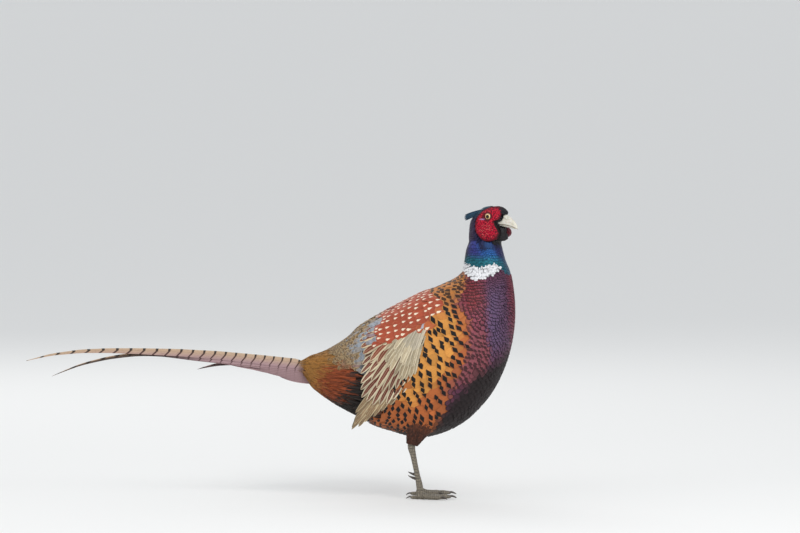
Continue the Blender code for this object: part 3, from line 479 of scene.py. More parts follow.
def tile_shape(widths, rows, across):
    """A closed thin vane: places across u and along v, width shares, 1 on the under side, and faces."""
    v = np.repeat(rows, across)
    u = np.tile(np.linspace(-1, 1, across), len(rows))
    w = np.repeat(widths, across)
    inner = [i * across + j for i in range(1, len(rows) - 1) for j in range(1, across - 1)]
    under = {top: len(v) + k for k, top in enumerate(inner)}
    faces = []
    for i in range(len(rows) - 1):
        for j in range(across - 1):
            top = (i * across + j, i * across + j + 1, (i + 1) * across + j + 1, (i + 1) * across + j)
            faces += [top, tuple(under.get(k, k) for k in reversed(top))]
    inner = np.array(inner)
    below = np.concatenate([np.zeros(len(v)), np.ones(len(inner))])
    return *(np.concatenate([values, values[inner]]) for values in (u, v, w)), below, np.array(faces)


ROUND_VANE = tile_shape([0.55, 0.8, 0.98, 1.0, 0.9, 0.64, 0.2], [0, 0.25, 0.5, 0.68, 0.84, 0.95, 1.0], 7)
FINE_VANE = tile_shape([0.55, 0.9, 1.0, 0.72, 0.2], [0, 0.4, 0.72, 0.93, 1.0], 6)
SMALL_VANE = tile_shape([0.55, 0.95, 0.9, 0.6, 0.2], [0, 0.5, 0.78, 0.93, 1.0], 5)
HAIR_VANE = tile_shape([0.6, 0.95, 0.9, 0.6, 0.08], [0, 0.3, 0.6, 0.85, 1.0], 5)


def ways(form, t, a, heading=None, yaw=None):
    """Steps along t and a for a millimetre ahead and a millimetre aside of a vane's root."""
    _, along, round_, out = form.lie(t, a)
    ahead = along if heading is None else heading
    ahead = unit(ahead - np.sum(ahead * out, -1, keepdims=True) * out)
    side = np.cross(ahead, out)
    if yaw is not None:
        c, s = np.cos(yaw)[:, None], np.sin(yaw)[:, None]
        ahead, side = ahead * c + side * s, side * c - ahead * s
    tt, ta, aa = (np.sum(p * q, -1) for p, q in ((along, along), (along, round_), (round_, round_)))
    det = tt * aa - ta ** 2

    def steps(way):
        wt, wa = np.sum(way * along, -1), np.sum(way * round_, -1)
        return (aa * wt - ta * wa) / det, (tt * wa - ta * wt) / det

    return steps(ahead), steps(side)


# in millimetres, degrees, and shares of the bake map
VANE_THICK, CREASE, PATCH = 0.3, 50, (0.0015, 0.003)


def lay(form, t, a, length, half, shape, lift, sink, arch, yaw, roll, raised=None, heading=None):
    """Vanes laid over a form from roots at t and a. Gives their points, in rows of one vane each."""
    u, v, w, below, _ = shape
    (at, aa), (st, sa) = ways(form, t, a, heading, yaw)
    y, x = length[:, None] * v, half[:, None] * (w * u)
    base, _, _, normal = form.lie(
        t[:, None] + y * at[:, None] + x * st[:, None], a[:, None] + y * aa[:, None] + x * sa[:, None])
    height = lift * v ** 1.5 - sink * (1 - v) ** 1.3 + arch * (1 - u ** 2) * w - VANE_THICK * below
    height = height + roll[:, None] * u * w
    if raised:
        height = height + raised(base)
    return base + normal * height[..., None]


def vanes(points, shape, roots):
    """Many like vanes: points, faces, and a small patch at each root on the bake map."""
    u, v, w, _, faces = shape
    uv = np.stack([roots[:, 0, None] + PATCH[0] * (u * w), roots[:, 1, None] + PATCH[1] * (v - 0.5)], -1)
    firsts = np.arange(len(points))[:, None, None] * len(u)
    faces = (faces + firsts).reshape(-1, 4)
    return {"points": points, "faces": [faces], "uv": uv.reshape(-1, 2), "sharp": CREASE}


def vane_spreads(shape, n, *looks):
    """Values for the points of many vanes, from ground, rim, mark and kinds of each vane or of all."""
    u, v, w, _, _ = shape
    spreads = {"Vane": np.tile(np.stack([u, v, u * w], -1), (n, 1))}
    for key, rows in zip(("Ground", "Rim", "Mark", "Kinds"), looks):
        rows = np.asarray(paint(rows) if isinstance(rows, str) else rows, float)
        rows = np.broadcast_to(rows, (n, rows.shape[-1]))
        spreads[key] = np.repeat(np.concatenate([rows, np.ones((n, 4 - rows.shape[1]))], 1), len(u), 0)
    return {**spreads, "Draw": np.repeat(chance.random(n), len(u))}


def scattered(n):
    """Places on the bake map for vanes that have no order."""
    return np.stack([chance.uniform(0.1, 0.9, n), chance.uniform(0.1, 0.9, n)], -1)


def feather_finish(name, metal=0.0, roughness=0.55, rim_from=0.5):
    """Ground colour with a rim, a bar across the tip, a drop-shaped spot, a shaft and fine barbs."""
    f = VaneFinish(name, Specular_IOR_Level=0.35)
    ground, rim, mark, rims, bars, spots, gloss = f.looks()
    v, side = f.v, f.side
    strands = f.barbs(2.2, 7, 26, 9, 40, 2.6, 2.0, 0.55)
    edge = abs(f.u) ** 3 * 0.85 + v ** 9 * 0.75
    colour = f.mix(f.fade(edge + (strands - 0.5) * 0.3, rim_from, rim_from + 0.28) * rims, ground, rim)
    tip = f.fade(1.0 - abs(v - 0.86) * 7.0 - abs(side) * 1.0 + (strands - 0.5) * 0.35, 0.04, 0.22) * bars
    colour = f.mix(tip, colour, mark)
    drop = f.fade(v, 0.70, 0.73) * f.fade((v - 0.66) * 1.15 - abs(side), 0.0, 0.07)
    drop = drop * (1 - f.fade(v + side * side * 1.1, 0.93, 0.97))
    colour = f.mix(drop * spots, colour, mark)
    shaft = (1 - f.fade(abs(side), 0.02, 0.06)) * 0.35
    colour = f.mix(shaft * (1 - gloss) * (1 - tip), colour, rim)
    tone = (strands - 0.5) * 0.7 + (f.luck - 0.5) * 0.16 + 1.0
    f.set(Base_Color=f.tint(colour, tone), Metallic=gloss * metal, Roughness=roughness - gloss * 0.22)
    return f.bump(strands, 0.35, 0.0006)


WING_OUTLINE = sketched([
    (427, 319), (413, 334), (418, 345), (415, 358), (418, 366), (398, 384), (392, 399), (364, 420),
    (354, 427), (355, 405), (361, 380), (364, 350), (378, 334), (396, 326), (412, 318),
])
WING_FRONT = sketched([
    (430, 316), (418, 334), (420, 345), (418, 358), (419, 368), (400, 386), (393, 400), (380, 412),
])
WING_TOP = sketched([(372, 338), (392, 330), (412, 321), (430, 312)])


def swelling(places):
    """How far feathers are raised: to lap over the wing's top and front edges, and on the full chin."""
    x, z = places[..., 0], places[..., 2]
    front = (1 - smooth(near_line(x, z, WING_FRONT), 4, 34)) * np.interp(z, [130, 200, 270], [3.5, 6.5, 10.0])
    top = (1 - smooth(near_line(x, z, WING_TOP), 8, 40)) * np.interp(x, [160, 210, 250], [8.0, 13.4, 13.4])
    f, y, u = np.moveaxis(in_head(places), -1, 0)
    thigh = 10.0 * np.exp(-((x - 250.0) / 30.0) ** 2 - ((z - 124.0) / 24.0) ** 2)
    thigh = thigh * smooth(np.abs(places[..., 1]), 12, 40)
    chin = 2.4 * np.exp(-((f - 27.0) / 9.0) ** 2 - ((u + 18.0) / 9.0) ** 2 - (y / 17.0) ** 4)
    raised = np.maximum(np.maximum(np.maximum(front, top) * (z < 400), thigh), chin)
    return raised - 8.0 * (1 - smooth(x, 38.0, 66.0))


LEAST_ROUND, ROW_GAP = 138.0, 1.45


def feather_roots(columns):
    """Roots over the whole body in rows that shift by half from column to column, finer where the body is."""
    turn = 2 * math.pi / columns
    stations = np.linspace(0.4, LAST_STATION - 0.05, 1400)
    girth = STATIONS[:, 4][np.clip(np.round(stations).astype(int), 0, LAST_STATION)] * turn
    found = []
    for column in range(columns):
        a = (column + 0.5) * turn
        _, along, round_, _ = BODY.lie(stations, np.full_like(stations, a))
        size = 0.6 * (np.linalg.norm(round_, axis=-1) * turn) + 0.4 * girth
        size = np.maximum(size, LEAST_ROUND / columns)
        rows = np.cumsum(np.linalg.norm(along, axis=-1) / (ROW_GAP * size)) * (stations[1] - stations[0])
        t = np.interp(np.arange(0.5 * (column % 2), rows[-1], 1.0), rows, stations)
        found.append((t, np.full_like(t, a), np.interp(t, stations, size)))
    return [np.concatenate(rows) for rows in zip(*found)]


HAIRY = ("rump", "vent")
FINE = ("breast", "belly")
COATS = [(60, [n for n in AREA_NAMES if n not in FINE]), (96, FINE)]
LENGTH, HALF_WIDTH, HAIR_LENGTH = (3.1, 0), (0.86, 0), (1.2, 22)
# vane shape, length as a share of the size and millimetres more, half width likewise, lift, sink and arch in
# millimetres, and how far the draws for yaw and roll count
PLAIN_COAT = ROUND_VANE, LENGTH, HALF_WIDTH, 1.2, 1.6, 0.7, 1, 1
HAIR_COAT = HAIR_VANE, HAIR_LENGTH, (0.12, 0.7), 1.1, 1.8, 0.3, 2, 1
FINE_COAT = FINE_VANE, LENGTH, HALF_WIDTH, 1.1, 1.5, 0.5, 1, 1
SLEEK_COAT = SMALL_VANE, (2.7, 0), (0.82, 0), 0.8, 1.2, 0.4, 1, 0.5
OTHER_COATS = {
    "rump": HAIR_COAT, "vent": HAIR_COAT, "breast": FINE_COAT, "belly": FINE_COAT,
    "neck": SLEEK_COAT, "crown": SLEEK_COAT,
    "back": (SMALL_VANE, LENGTH, (0.55, 0), 1.2, 1.6, 0.7, 1, 1),
    "ring": (ROUND_VANE, (2.1, 0), (0.52, 0), 1.0, 2.5, 0.7, 0.5, 0.4),
}


def build_coat():
    """The feathers of every area, laid over the skin: fine ones on breast and belly, larger ones elsewhere."""
    finishes = {
        "crown": feather_finish("crown_feathers", 0.5, 0.55),
        "neck": feather_finish("neck_gloss_feathers", 0.6, 0.55, 0.3),
        "breast": feather_finish("breast_feathers", 0.55, 0.6, 0.34),
    }
    plain = feather_finish("body_feathers_fine", 0.4, 0.65)
    for columns, names in COATS:
        t, a, size = feather_roots(columns)
        a = a + chance.normal(0, 0.010, len(t))
        # soft plumage of the rump and vent, and the white ring, grow much denser
        soft = np.flatnonzero((t > 19.6) & (BODY.point(t, a)[:, 0] < 165))
        collar = np.flatnonzero((t > 10.9) & (t < 13.7))
        for more in (soft, soft, soft, collar, collar) if "rump" in names else ():
            t = np.concatenate([t, t[more] + chance.normal(0, 0.12, len(more))])
            a = np.concatenate([a, a[more] + chance.normal(0, 0.06, len(more))])
            size = np.concatenate([size, size[more]])
        t = np.clip(t, 0.3, LAST_STATION - 0.05)
        n = len(t)
        heading = head_heading(t, a)
        (at, aa), _ = ways(BODY, t, a, heading)
        # markings are read near each feather's tip, where it shows
        reach = size * LENGTH[0] * 0.8
        tip_t, tip_a = t + reach * at, a + reach * aa
        tips = BODY.point(tip_t, tip_a)
        ragged = np.minimum(size, 6.0) * (0.35 + 0.75 * smooth(t, 17.5, 19.5))
        stray = chance.normal(0, 1, (n, 3)) * ragged[:, None] * [1, 0, 1]
        ground, rim, mark, kinds, area = markings(tip_t + chance.normal(0, 0.03, n), tip_a, tips + stray)
        # none under the wing or the red face, and a ragged end over the tail's root
        depth = depth_in(tips[:, 0], tips[:, 2], WING_OUTLINE)
        hidden = ((depth > 16) | ((area == AREA["wing_bed"]) & (depth > 5))) & (area != AREA["scapulars"])
        kinds[:, 1] *= chance.random(n) > 0.05
        hair_end = BODY.point(t + (size * HAIR_LENGTH[0] + HAIR_LENGTH[1]) * at, a)[:, 0]
        ends = hair_end < 37.0 + 17.0 * chance.random(n)
        kept = ~hidden & ~face_cover(t, a, tips) & ~ends
        hairs = np.isin(area, [AREA[name] for name in HAIRY])
        ground = ground * np.where(hairs, chance.uniform(0.62, 1.42, n), chance.uniform(0.9, 1.1, n))[:, None]
        for name in names:
            here = kept & (area == AREA[name])
            lay_area(name, t[here], a[here], size[here], heading[here],
                     [rows[here] for rows in (ground, rim, mark, kinds)], finishes.get(name, plain))


def lay_area(name, t, a, size, heading, looks, finish):
    n = len(t)
    vary = chance.uniform(0.9, 1.12, n)
    yaw, roll = chance.normal(0, 0.07, n), chance.normal(0, 0.35, n)
    if name in HAIRY:
        vary = chance.uniform(0.75, 1.15, n)
    elif name == "ring":
        vary = np.ones(n)
    shape, length, half, lift, sink, arch, yaws, rolls = OTHER_COATS.get(name, PLAIN_COAT)
    length, half = ((share * size + more) * vary for share, more in (length, half))
    yaw, roll = yaw * yaws, roll * rolls
    points = lay(BODY, t, a, length, half, shape, lift, sink, arch, yaw, roll, swelling, heading)
    spreads = vane_spreads(shape, n, *looks)
    roots = np.stack([0.02 + 0.96 * (a / (2 * math.pi)) % 1.0, 0.02 + 0.96 * t / LAST_STATION], -1)
    obj = piece(name + "_feathers", finish=finish, spreads=spreads, **vanes(points, shape, roots))


SKIN_DEPTH, SKIN_ROWS, SKIN_SIDES = 2.6, 230, 96
THIGH_ROWS, THIGH_SIDES = 30, 32


def build_skin():
    """One skin under the feathers, from the crown to the tail root and down the thighs."""
    f = Finish("skin_under_feathers", Roughness=0.8, Specular_IOR_Level=0.2)
    grain = f.noise(f.place(), 900.0, 3.0)
    f.set(Base_Color=f.tint(f.spread("Ground"), grain * 0.5 + 0.5))
    f.bump(grain, 0.3, 0.0005)
    t, a = np.meshgrid(np.linspace(0.0, LAST_STATION, SKIN_ROWS + 1), around(SKIN_SIDES), indexing="ij")
    p, _, _, out = BODY.lie(np.clip(t, 0.02, LAST_STATION - 0.02), a)
    # it draws in at its end, to sit on the tail's root under the last feathers
    inner = p - out * (SKIN_DEPTH + 11.0 * smooth(t, LAST_STATION - 0.75, LAST_STATION)[..., None])
    ground, *_ = markings(t, a, p)
    crown = turned(np.array([HEAD_X + CROWN_POLE[0], 0, HEAD_Z + CROWN_POLE[1] - SKIN_DEPTH]), HEAD_Z)
    points = [inner.reshape(-1, 3), crown[None], inner[-1].mean(0)[None]]
    colours = [ground.reshape(-1, 3), ground[0, :1], ground[-1, :1]]
    pole = inner[..., 0].size
    faces = [rings(SKIN_ROWS + 1, SKIN_SIDES)[:, ::-1], fan(pole, 0, SKIN_SIDES),
             fan(pole + 1, pole - SKIN_SIDES, SKIN_SIDES)[:, [0, 2, 1]]]
    start = pole + 2
    for _, sign in SIDES:
        t, a = np.meshgrid(np.linspace(0, 4, THIGH_ROWS + 1), around(THIGH_SIDES), indexing="ij")
        p = thigh_form(sign).point(t, a)
        middle = p.mean(1, keepdims=True)
        points += [(middle + (p - middle) * 0.9).reshape(-1, 3), middle[0], middle[-1]]
        colours.append(np.broadcast_to(paint("3a1d12"), (t.size + 2, 3)))
        end = start + t.size
        faces += [rings(THIGH_ROWS + 1, THIGH_SIDES, start)[:, ::-sign],
                  fan(end, start, THIGH_SIDES), fan(end + 1, end - THIGH_SIDES, THIGH_SIDES)]
        start = end + 2
    colours = np.concatenate(colours)
    colours = np.concatenate([colours, np.ones((len(colours), 1))], 1)
    skin = piece("skin", np.concatenate(points), faces, f, {"Ground": colours})
    recalculate(skin)
    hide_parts("head", "neck", "torso", "rump", "thigh_right", "thigh_left")


def build_thigh_feathers():
    """Small feathers in rows round each thigh, down to the shank."""
    finish = feather_finish("thigh_feathers_fine", 0.1, 0.65)
    for side, sign in SIDES:
        form = thigh_form(sign)
        t, a = [], []
        for row, station in enumerate(np.linspace(1.0, 3.9, 26)):
            count = int(np.interp(station, [0, 2, 4], [44, 34, 16]))
            t += [station] * count
            a += list((np.arange(count) + 0.5 * (row % 2)) * 2 * math.pi / count)
        t, a = np.array(t), np.array(a) * sign
        n = len(t)
        p, _, _, out = form.lie(t, a)
        middle = np.moveaxis(curve(THIGH_LINE, t), -1, 0)[:3].T * np.array([1, sign, 1])
        if np.mean(np.sum(out * (p - middle), -1)) < 0:
            a = -a
            form = Form(lambda t, a, point=form.point: point(t, -a))
        size = np.interp(t, [0, 2, 4], [8.0, 6.5, 4.5])
        length = size * 2.5 * chance.uniform(0.8, 1.2, n)
        yaw, roll = chance.normal(0, 0.12, n), chance.normal(0, 0.3, n)
        points = lay(form, t, a, length, size * 0.36, FINE_VANE, 1.3, 1.4, 0.4, yaw, roll)
        ground = lerp(paint("7a3f1e"), paint("4a2616"), smooth(t, 1.0, 2.6)) * chance.uniform(0.6, 1.5, (n, 1))
        spreads = vane_spreads(FINE_VANE, n, ground, "2a130a", "0c0705", [0.6, 0.4, 0, 0])
        roots = np.stack([0.05 + 0.4 * (a % (2 * math.pi)) / (2 * math.pi), 0.1 + 0.2 * t], -1)
        shaped = vanes(points, FINE_VANE, roots)
        obj = piece("thigh_feathers_" + side, finish=finish, spreads=spreads, **shaped)


# The head

EYE, EYE_RADIUS, EYE_OUT = (8.5, 9.5), 5.6, 11.6
WATTLE_MIDDLE = (9.0, -2.0)
WATTLE_OUTLINE = [
    (29.2, 13.0), (26.6, 5.2), (21.5, 1.5), (26.5, -8.0), (30.0, -17.0), (25.5, -25.0),
    (16.0, -29.5), (6.0, -29.0), (-4.0, -22.5), (-11.0, -12.0), (-12.0, 2.0), (-9.0, 11.0),
    (-2.0, 19.0), (8.0, 24.2), (20.0, 25.6), (30.2, 21.5),
]
BILL_SECTIONS = [
    (20.0, 2.6, -1.6, -5.6, 8.8, 7.6), (28.0, 3.4, -2.6, -6.2, 8.0, 6.9), (33.2, 12.4, -3.2, -7.2, 7.0, 6.2),
    (38.0, 11.6, -3.9, -8.0, 6.2, 5.5), (42.0, 8.8, -4.8, -8.6, 5.4, 4.7), (45.5, 5.4, -5.8, -9.2, 4.5, 3.8),
    (48.5, 3.0, -6.9, -9.9, 3.7, 2.7), (51.0, 0.2, -8.0, -9.9, 3.0, 1.2), (53.0, -3.0, -9.2, -9.9, 2.2, 0.4),
    (54.1, -6.0, -10.2, -10.4, 1.3, 0.2), (54.5, -8.6, -10.9, -10.8, 0.5, 0.1),
]


def closed_rows(outline, steps):
    rows = np.array([outline[(k - 1) % len(outline)] for k in range(len(outline) + 3)])
    return curve(rows, 1 + len(outline) * np.arange(steps) / steps)


def head_place(points):
    """Points in the head's frame, ahead, across and up, turned and put on the body."""
    points = np.asarray(points, float)
    x, y, z = points[..., 0], points[..., 1], points[..., 2]
    c, s = math.cos(HEAD_TURN), math.sin(HEAD_TURN)
    return np.stack([HEAD_X + x * c + y * s, y * c - x * s, HEAD_Z + z], -1)


def in_head(points):
    """Places in the head's frame: ahead, across and up."""
    x, y, z = points[..., 0] - HEAD_X, points[..., 1], points[..., 2]
    c, s = math.cos(HEAD_TURN), math.sin(HEAD_TURN)
    return np.stack([x * c - y * s, y * c + x * s, z - HEAD_Z], -1)


def face_cover(t, a, tip):
    """True for feathers that the red face or the bill covers."""
    f, _, u = in_head(BODY.point(t, a)).T
    outline = closed_rows(WATTLE_OUTLINE, 64)
    at_bill = (f > 27 + 4.0 * smooth(u, 0, 5)) & (u > -8) & (u < 11.5)
    tf, ty, tu = in_head(tip).T
    tip_on_bill = (tf > 31.5) & (tu < 12.5) & (tu > -10) & (np.abs(ty) > 2.2)
    return (t < 9.5) & ((depth_in(f, u, outline) > 0.5) | at_bill | tip_on_bill)


def head_heading(t, a):
    """Which way feathers point: away from the bill on the head, and down the body below it."""
    p, along, _, _ = BODY.lie(t, a)
    f = in_head(p)[:, 0]
    back = smooth(-f, -12, 18)[:, None]
    away = unit(p - head_place(np.array([37.0, 0.0, 3.0])))
    on_head = away * (1 - 0.5 * back) + np.array([0, 0, -1.2]) * back
    share = smooth(t, 7.0, 9.6)[:, None]
    return unit(on_head) * (1 - share) + unit(along) * share


def wattle_reach(f, u):
    """How far out the red face reaches at a place in the head's frame."""
    rows = np.array([20.5, 20.8, 20.2, 18.6, 16.4, 12.6, 8.0])[:, None]
    face = curve(rows, np.clip((u + 31) / 9.6, 0, 6))[..., 0]
    face = face - 0.0115 * np.maximum(f - 10.0, 0) ** 2
    face = face + 4.6 * np.exp(-((f - 9.0) / 19.0) ** 2 - ((u + 13.0) / 14.0) ** 2)
    face = face - 0.7 * np.exp(-(((f - EYE[0]) / 7.5) ** 2 + ((u - EYE[1]) / 6.5) ** 2))
    return face - 1.3 * np.exp(-(((f - 19.0) / 9.0) ** 2 + ((u - 0.5) / 2.6) ** 2))


def head_reach(f, u):
    """How far out the feathered head itself reaches at a place in its frame."""
    t = np.clip(np.interp(-u, [-25.2, -23, -19, -13.5, -6.5, 2, 11, 20, 26.5, 32], np.arange(10.0)), 0, 9.4)
    bx, _, fx, _, width, narrow = np.moveaxis(curve(STATIONS, t), -1, 0)
    share = np.clip((HEAD_X + f - (bx + fx) / 2) / ((bx - fx) / 2), -1, 1)
    return width * np.sqrt(1 - share ** 2) * (1 + narrow * share)


# a grid of cells with one grain in each, its place in the cell and its paleness
GRAIN_CELL, GRAIN_GRID, GRAIN_SHIFT, PALE_FROM = 2.1, 64, 24, 0.7
GRAIN_SPOTS = np.random.default_rng(7).random((GRAIN_GRID, GRAIN_GRID, 3)) * [0.8, 0.8, 1.0] + [0.1, 0.1, 0.0]


def grains(f, u):
    """Small bulbs scattered closely over the red face, and the pale ones among them, each 0 to 1."""
    gf, gu = f / GRAIN_CELL + GRAIN_SHIFT, u / GRAIN_CELL + GRAIN_SHIFT
    i, j = np.floor(gf).astype(int), np.floor(gu).astype(int)
    nearest, pale = np.full(np.shape(f), 9.0), np.zeros(np.shape(f))
    for di in (-1, 0, 1):
        for dj in (-1, 0, 1):
            spot = GRAIN_SPOTS[(i + di) % GRAIN_GRID, (j + dj) % GRAIN_GRID]
            gap = np.hypot(i + di + spot[..., 0] - gf, j + dj + spot[..., 1] - gu)
            pale = np.where(gap < nearest, spot[..., 2] > PALE_FROM, pale)
            nearest = np.minimum(nearest, gap)
    bulb = 1 - smooth(nearest, 0.2, 0.72)
    return bulb, pale * (1 - smooth(nearest, 0.25, 0.5))


def wattle_finish():
    """Crimson skin: dark grooves, small swollen grains, paler on the lower lobe, and near-black painted shade
    in the fold along the notch.
    """
    f = Finish("red_face_skin", Specular_IOR_Level=0.25)
    bulb, lobe = f.spread("Bulb", "Value"), f.spread("Lobe", "Value")
    cells = f.node("TexVoronoi", None, {"Vector": f.place(), "Scale": 1500.0})
    fine = 1 - f.fade(cells, 0.15, 0.6)
    cloud = f.noise(f.place(), 160.0, 2.0)
    colour = f.mix(f.fade(bulb + (cloud - 0.5) * 0.5, 0.2, 0.75), "5c0318", "c20a30")
    colour = f.mix(lobe * (fine * 0.3 + 0.5), colour, "d87a70")
    # painted shade in the fold at the notch, near black
    colour = f.mix(f.spread("FoldShade", "Value"), colour, "100709")
    colour = f.mix(f.spread("Lilac", "Value"), colour, "b8a4dc")
    f.set(Base_Color=colour, Roughness=0.6 - fine * 0.1)
    return f.bump(bulb * 0.5 + fine * 0.5, 0.6, 0.0006)


NOTCH = [(31.5, 5.5), (24.5, 3.2), (20.8, 2.0), (23.0, -3.0), (27.6, -10.0), (31.0, -17.0), (27.0, -25.5)]


def build_face():
    """The red face: one closed grained shell on each side of the head, and the lids."""
    finish = wattle_finish()
    steps, rounds, back_rounds = 300, 90, 8
    rim = closed_rows(WATTLE_OUTLINE, steps)
    middle = np.array(WATTLE_MIDDLE)
    points, faces, edges, spreads = [], [], [], {"Bulb": [], "FoldShade": [], "Lilac": [], "Lobe": []}
    start = 0
    for rows, back in ((rounds, False), (back_rounds, True)):
        share = np.linspace(0, 1, rows + 1)[1:, None]
        f, u = np.moveaxis(middle + (rim - middle) * share[..., None], -1, 0)
        share = np.broadcast_to(share, f.shape)
        gap = np.hypot((f - EYE[0]) / 1.1, (u - EYE[1]) / 0.95)
        bulbs, pale = grains(f, u)
        off_lids = smooth(gap, 6.4, 8.6)
        bulbs = bulbs * (1 - share ** 8) * off_lids
        outer = np.maximum(wattle_reach(f, u), head_reach(f, u) + 1.2)
        outer = outer + 0.9 * bulbs - 1.8 * np.maximum(share - 0.55, 0) ** 2 / 0.2
        # the skin dips to the eye inside the lids
        outer = outer - 2.6 * (1 - smooth(gap, 4.2, 5.8))
        sheet = np.minimum(outer - 1.0, head_reach(f, u) - 1.5) if back else outer
        # painted shade: near black along the notch, where the face folds in
        fold_shade = 1 - smooth(near_line(f, u, NOTCH), 0.6, 2.2)
        lilac = 0.7 * np.exp(-((f - 0.2) / 4.2) ** 4 - ((u - 5.2) / 0.9) ** 2)
        lobe = pale * (0.3 + 0.7 * smooth(-u, -4, 6)) * (1 - smooth(share, 0.7, 0.92)) * off_lids
        points += [np.stack([f, -sheet, u], -1).reshape(-1, 3), [[middle[0], -sheet[0].mean(), middle[1]]]]
        for key, values in zip(spreads, (bulbs, fold_shade, lilac, lobe)):
            spreads[key] += [values.ravel(), values[0].mean(keepdims=True)]
        pole = start + rows * steps
        turn = -1 if back else 1
        faces += [rings(rows, steps, start)[:, ::turn], fan(pole, start, steps)[:, [0, 2, 1]][:, ::turn]]
        edges.append(pole - steps)
        start = pole + 1
    k, beside = np.arange(steps), (np.arange(steps) + 1) % steps
    edge, other = edges
    faces.append(np.stack([edge + k, edge + beside, other + beside, other + k], -1))
    spreads = {key: np.concatenate(values) for key, values in spreads.items()}

    def lobe_forward(shaped):
        """The left lobe hangs a little further forward, past the black chin."""
        f, y, u = shaped.T
        further = 6.2 * np.exp(-((u + 16.0) / 9.0) ** 4) * smooth(f, 10, 28) * (y.mean() > 0)
        return head_place(np.stack([f + further, y, u], -1))

    points = np.concatenate(points)
    for side, obj in on_both_sides("red_face", points, faces, finish, lobe_forward, spreads=spreads):
        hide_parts("wattle_" + side)
        # the left lobe's front edge, which shows past the chin, has no painted fold shade
        spreads["FoldShade"] *= smooth(points[:, 2], -9, -5)
    build_lids()


def build_lids():
    f = Finish("eye_lid_skin", Roughness=0.45, Specular_IOR_Level=0.4)
    grain = f.noise(f.place(), 2600.0, 2.0)
    f.set(Base_Color=f.mix(f.fade(grain, 0.3, 0.7), "5a3a30", "c7a184"))
    f.bump(grain, 0.4, 0.0003)
    ring, tube = 64, 12
    a, b = np.meshgrid(around(ring), around(tube), indexing="ij")
    across, up = np.cos(a) * 5.35 * (1.0 + 0.16 * np.abs(np.cos(a)) ** 6), np.sin(a) * 4.75
    out = EYE_OUT + np.sqrt(np.maximum(EYE_RADIUS ** 2 - (across ** 2 + up ** 2) * 0.80, 0.5)) - 0.25
    thick = np.where(np.sin(a) > 0, 0.75, 0.6)
    grow = 1 + thick * np.cos(b) / 5.0
    points = np.stack([EYE[0] + across * grow, -(out + thick * np.sin(b)), EYE[1] + up * grow], -1)
    faces = rings(ring + 1, tube) % a.size
    for _, obj in on_both_sides("lids", points, [faces[:, ::-1]], f, head_place):
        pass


def build_eyes():
    f = Finish("eye_wet", Roughness=0.2, Specular_IOR_Level=0.25, Coat_Weight=0.2, Coat_Roughness=0.03)
    out = f.spread("Gaze", "Value")
    rays = f.noise(f.spread("Spoke", "Vector"), 5.0, 3.0)
    iris = f.mix(f.fade(out, 2.8, 3.7), "c08a3c", "f0dfae")
    iris = f.mix((rays - 0.35) * 0.9, iris, "b8742c")
    colour = f.mix(f.fade(out, 2.6, 2.85), "030202", iris)
    f.set(Base_Color=f.mix(f.fade(out, 4.45, 4.9), colour, "2a1a14"))
    deep, across, up, a, faces = ball(40, 48)
    across, up, r = across * EYE_RADIUS, up * EYE_RADIUS, np.hypot(across, up) * EYE_RADIUS
    points = np.stack([EYE[0] + across, -(EYE_OUT + EYE_RADIUS * deep), EYE[1] + up], -1)
    look = 0.85 * np.maximum(1 - (r / 4.4) ** 2, 0)
    gaze = np.where(deep > 1e-9, np.hypot(across - look, up), 9.0)
    spreads = {"Gaze": gaze, "Spoke": np.stack([np.cos(a) * 2, np.sin(a) * 2, 0.12 * r], -1)}
    for side, obj in on_both_sides("eyeball", points, [faces[:, ::-1]], f, head_place, spreads=spreads):
        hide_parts("eye_" + side)


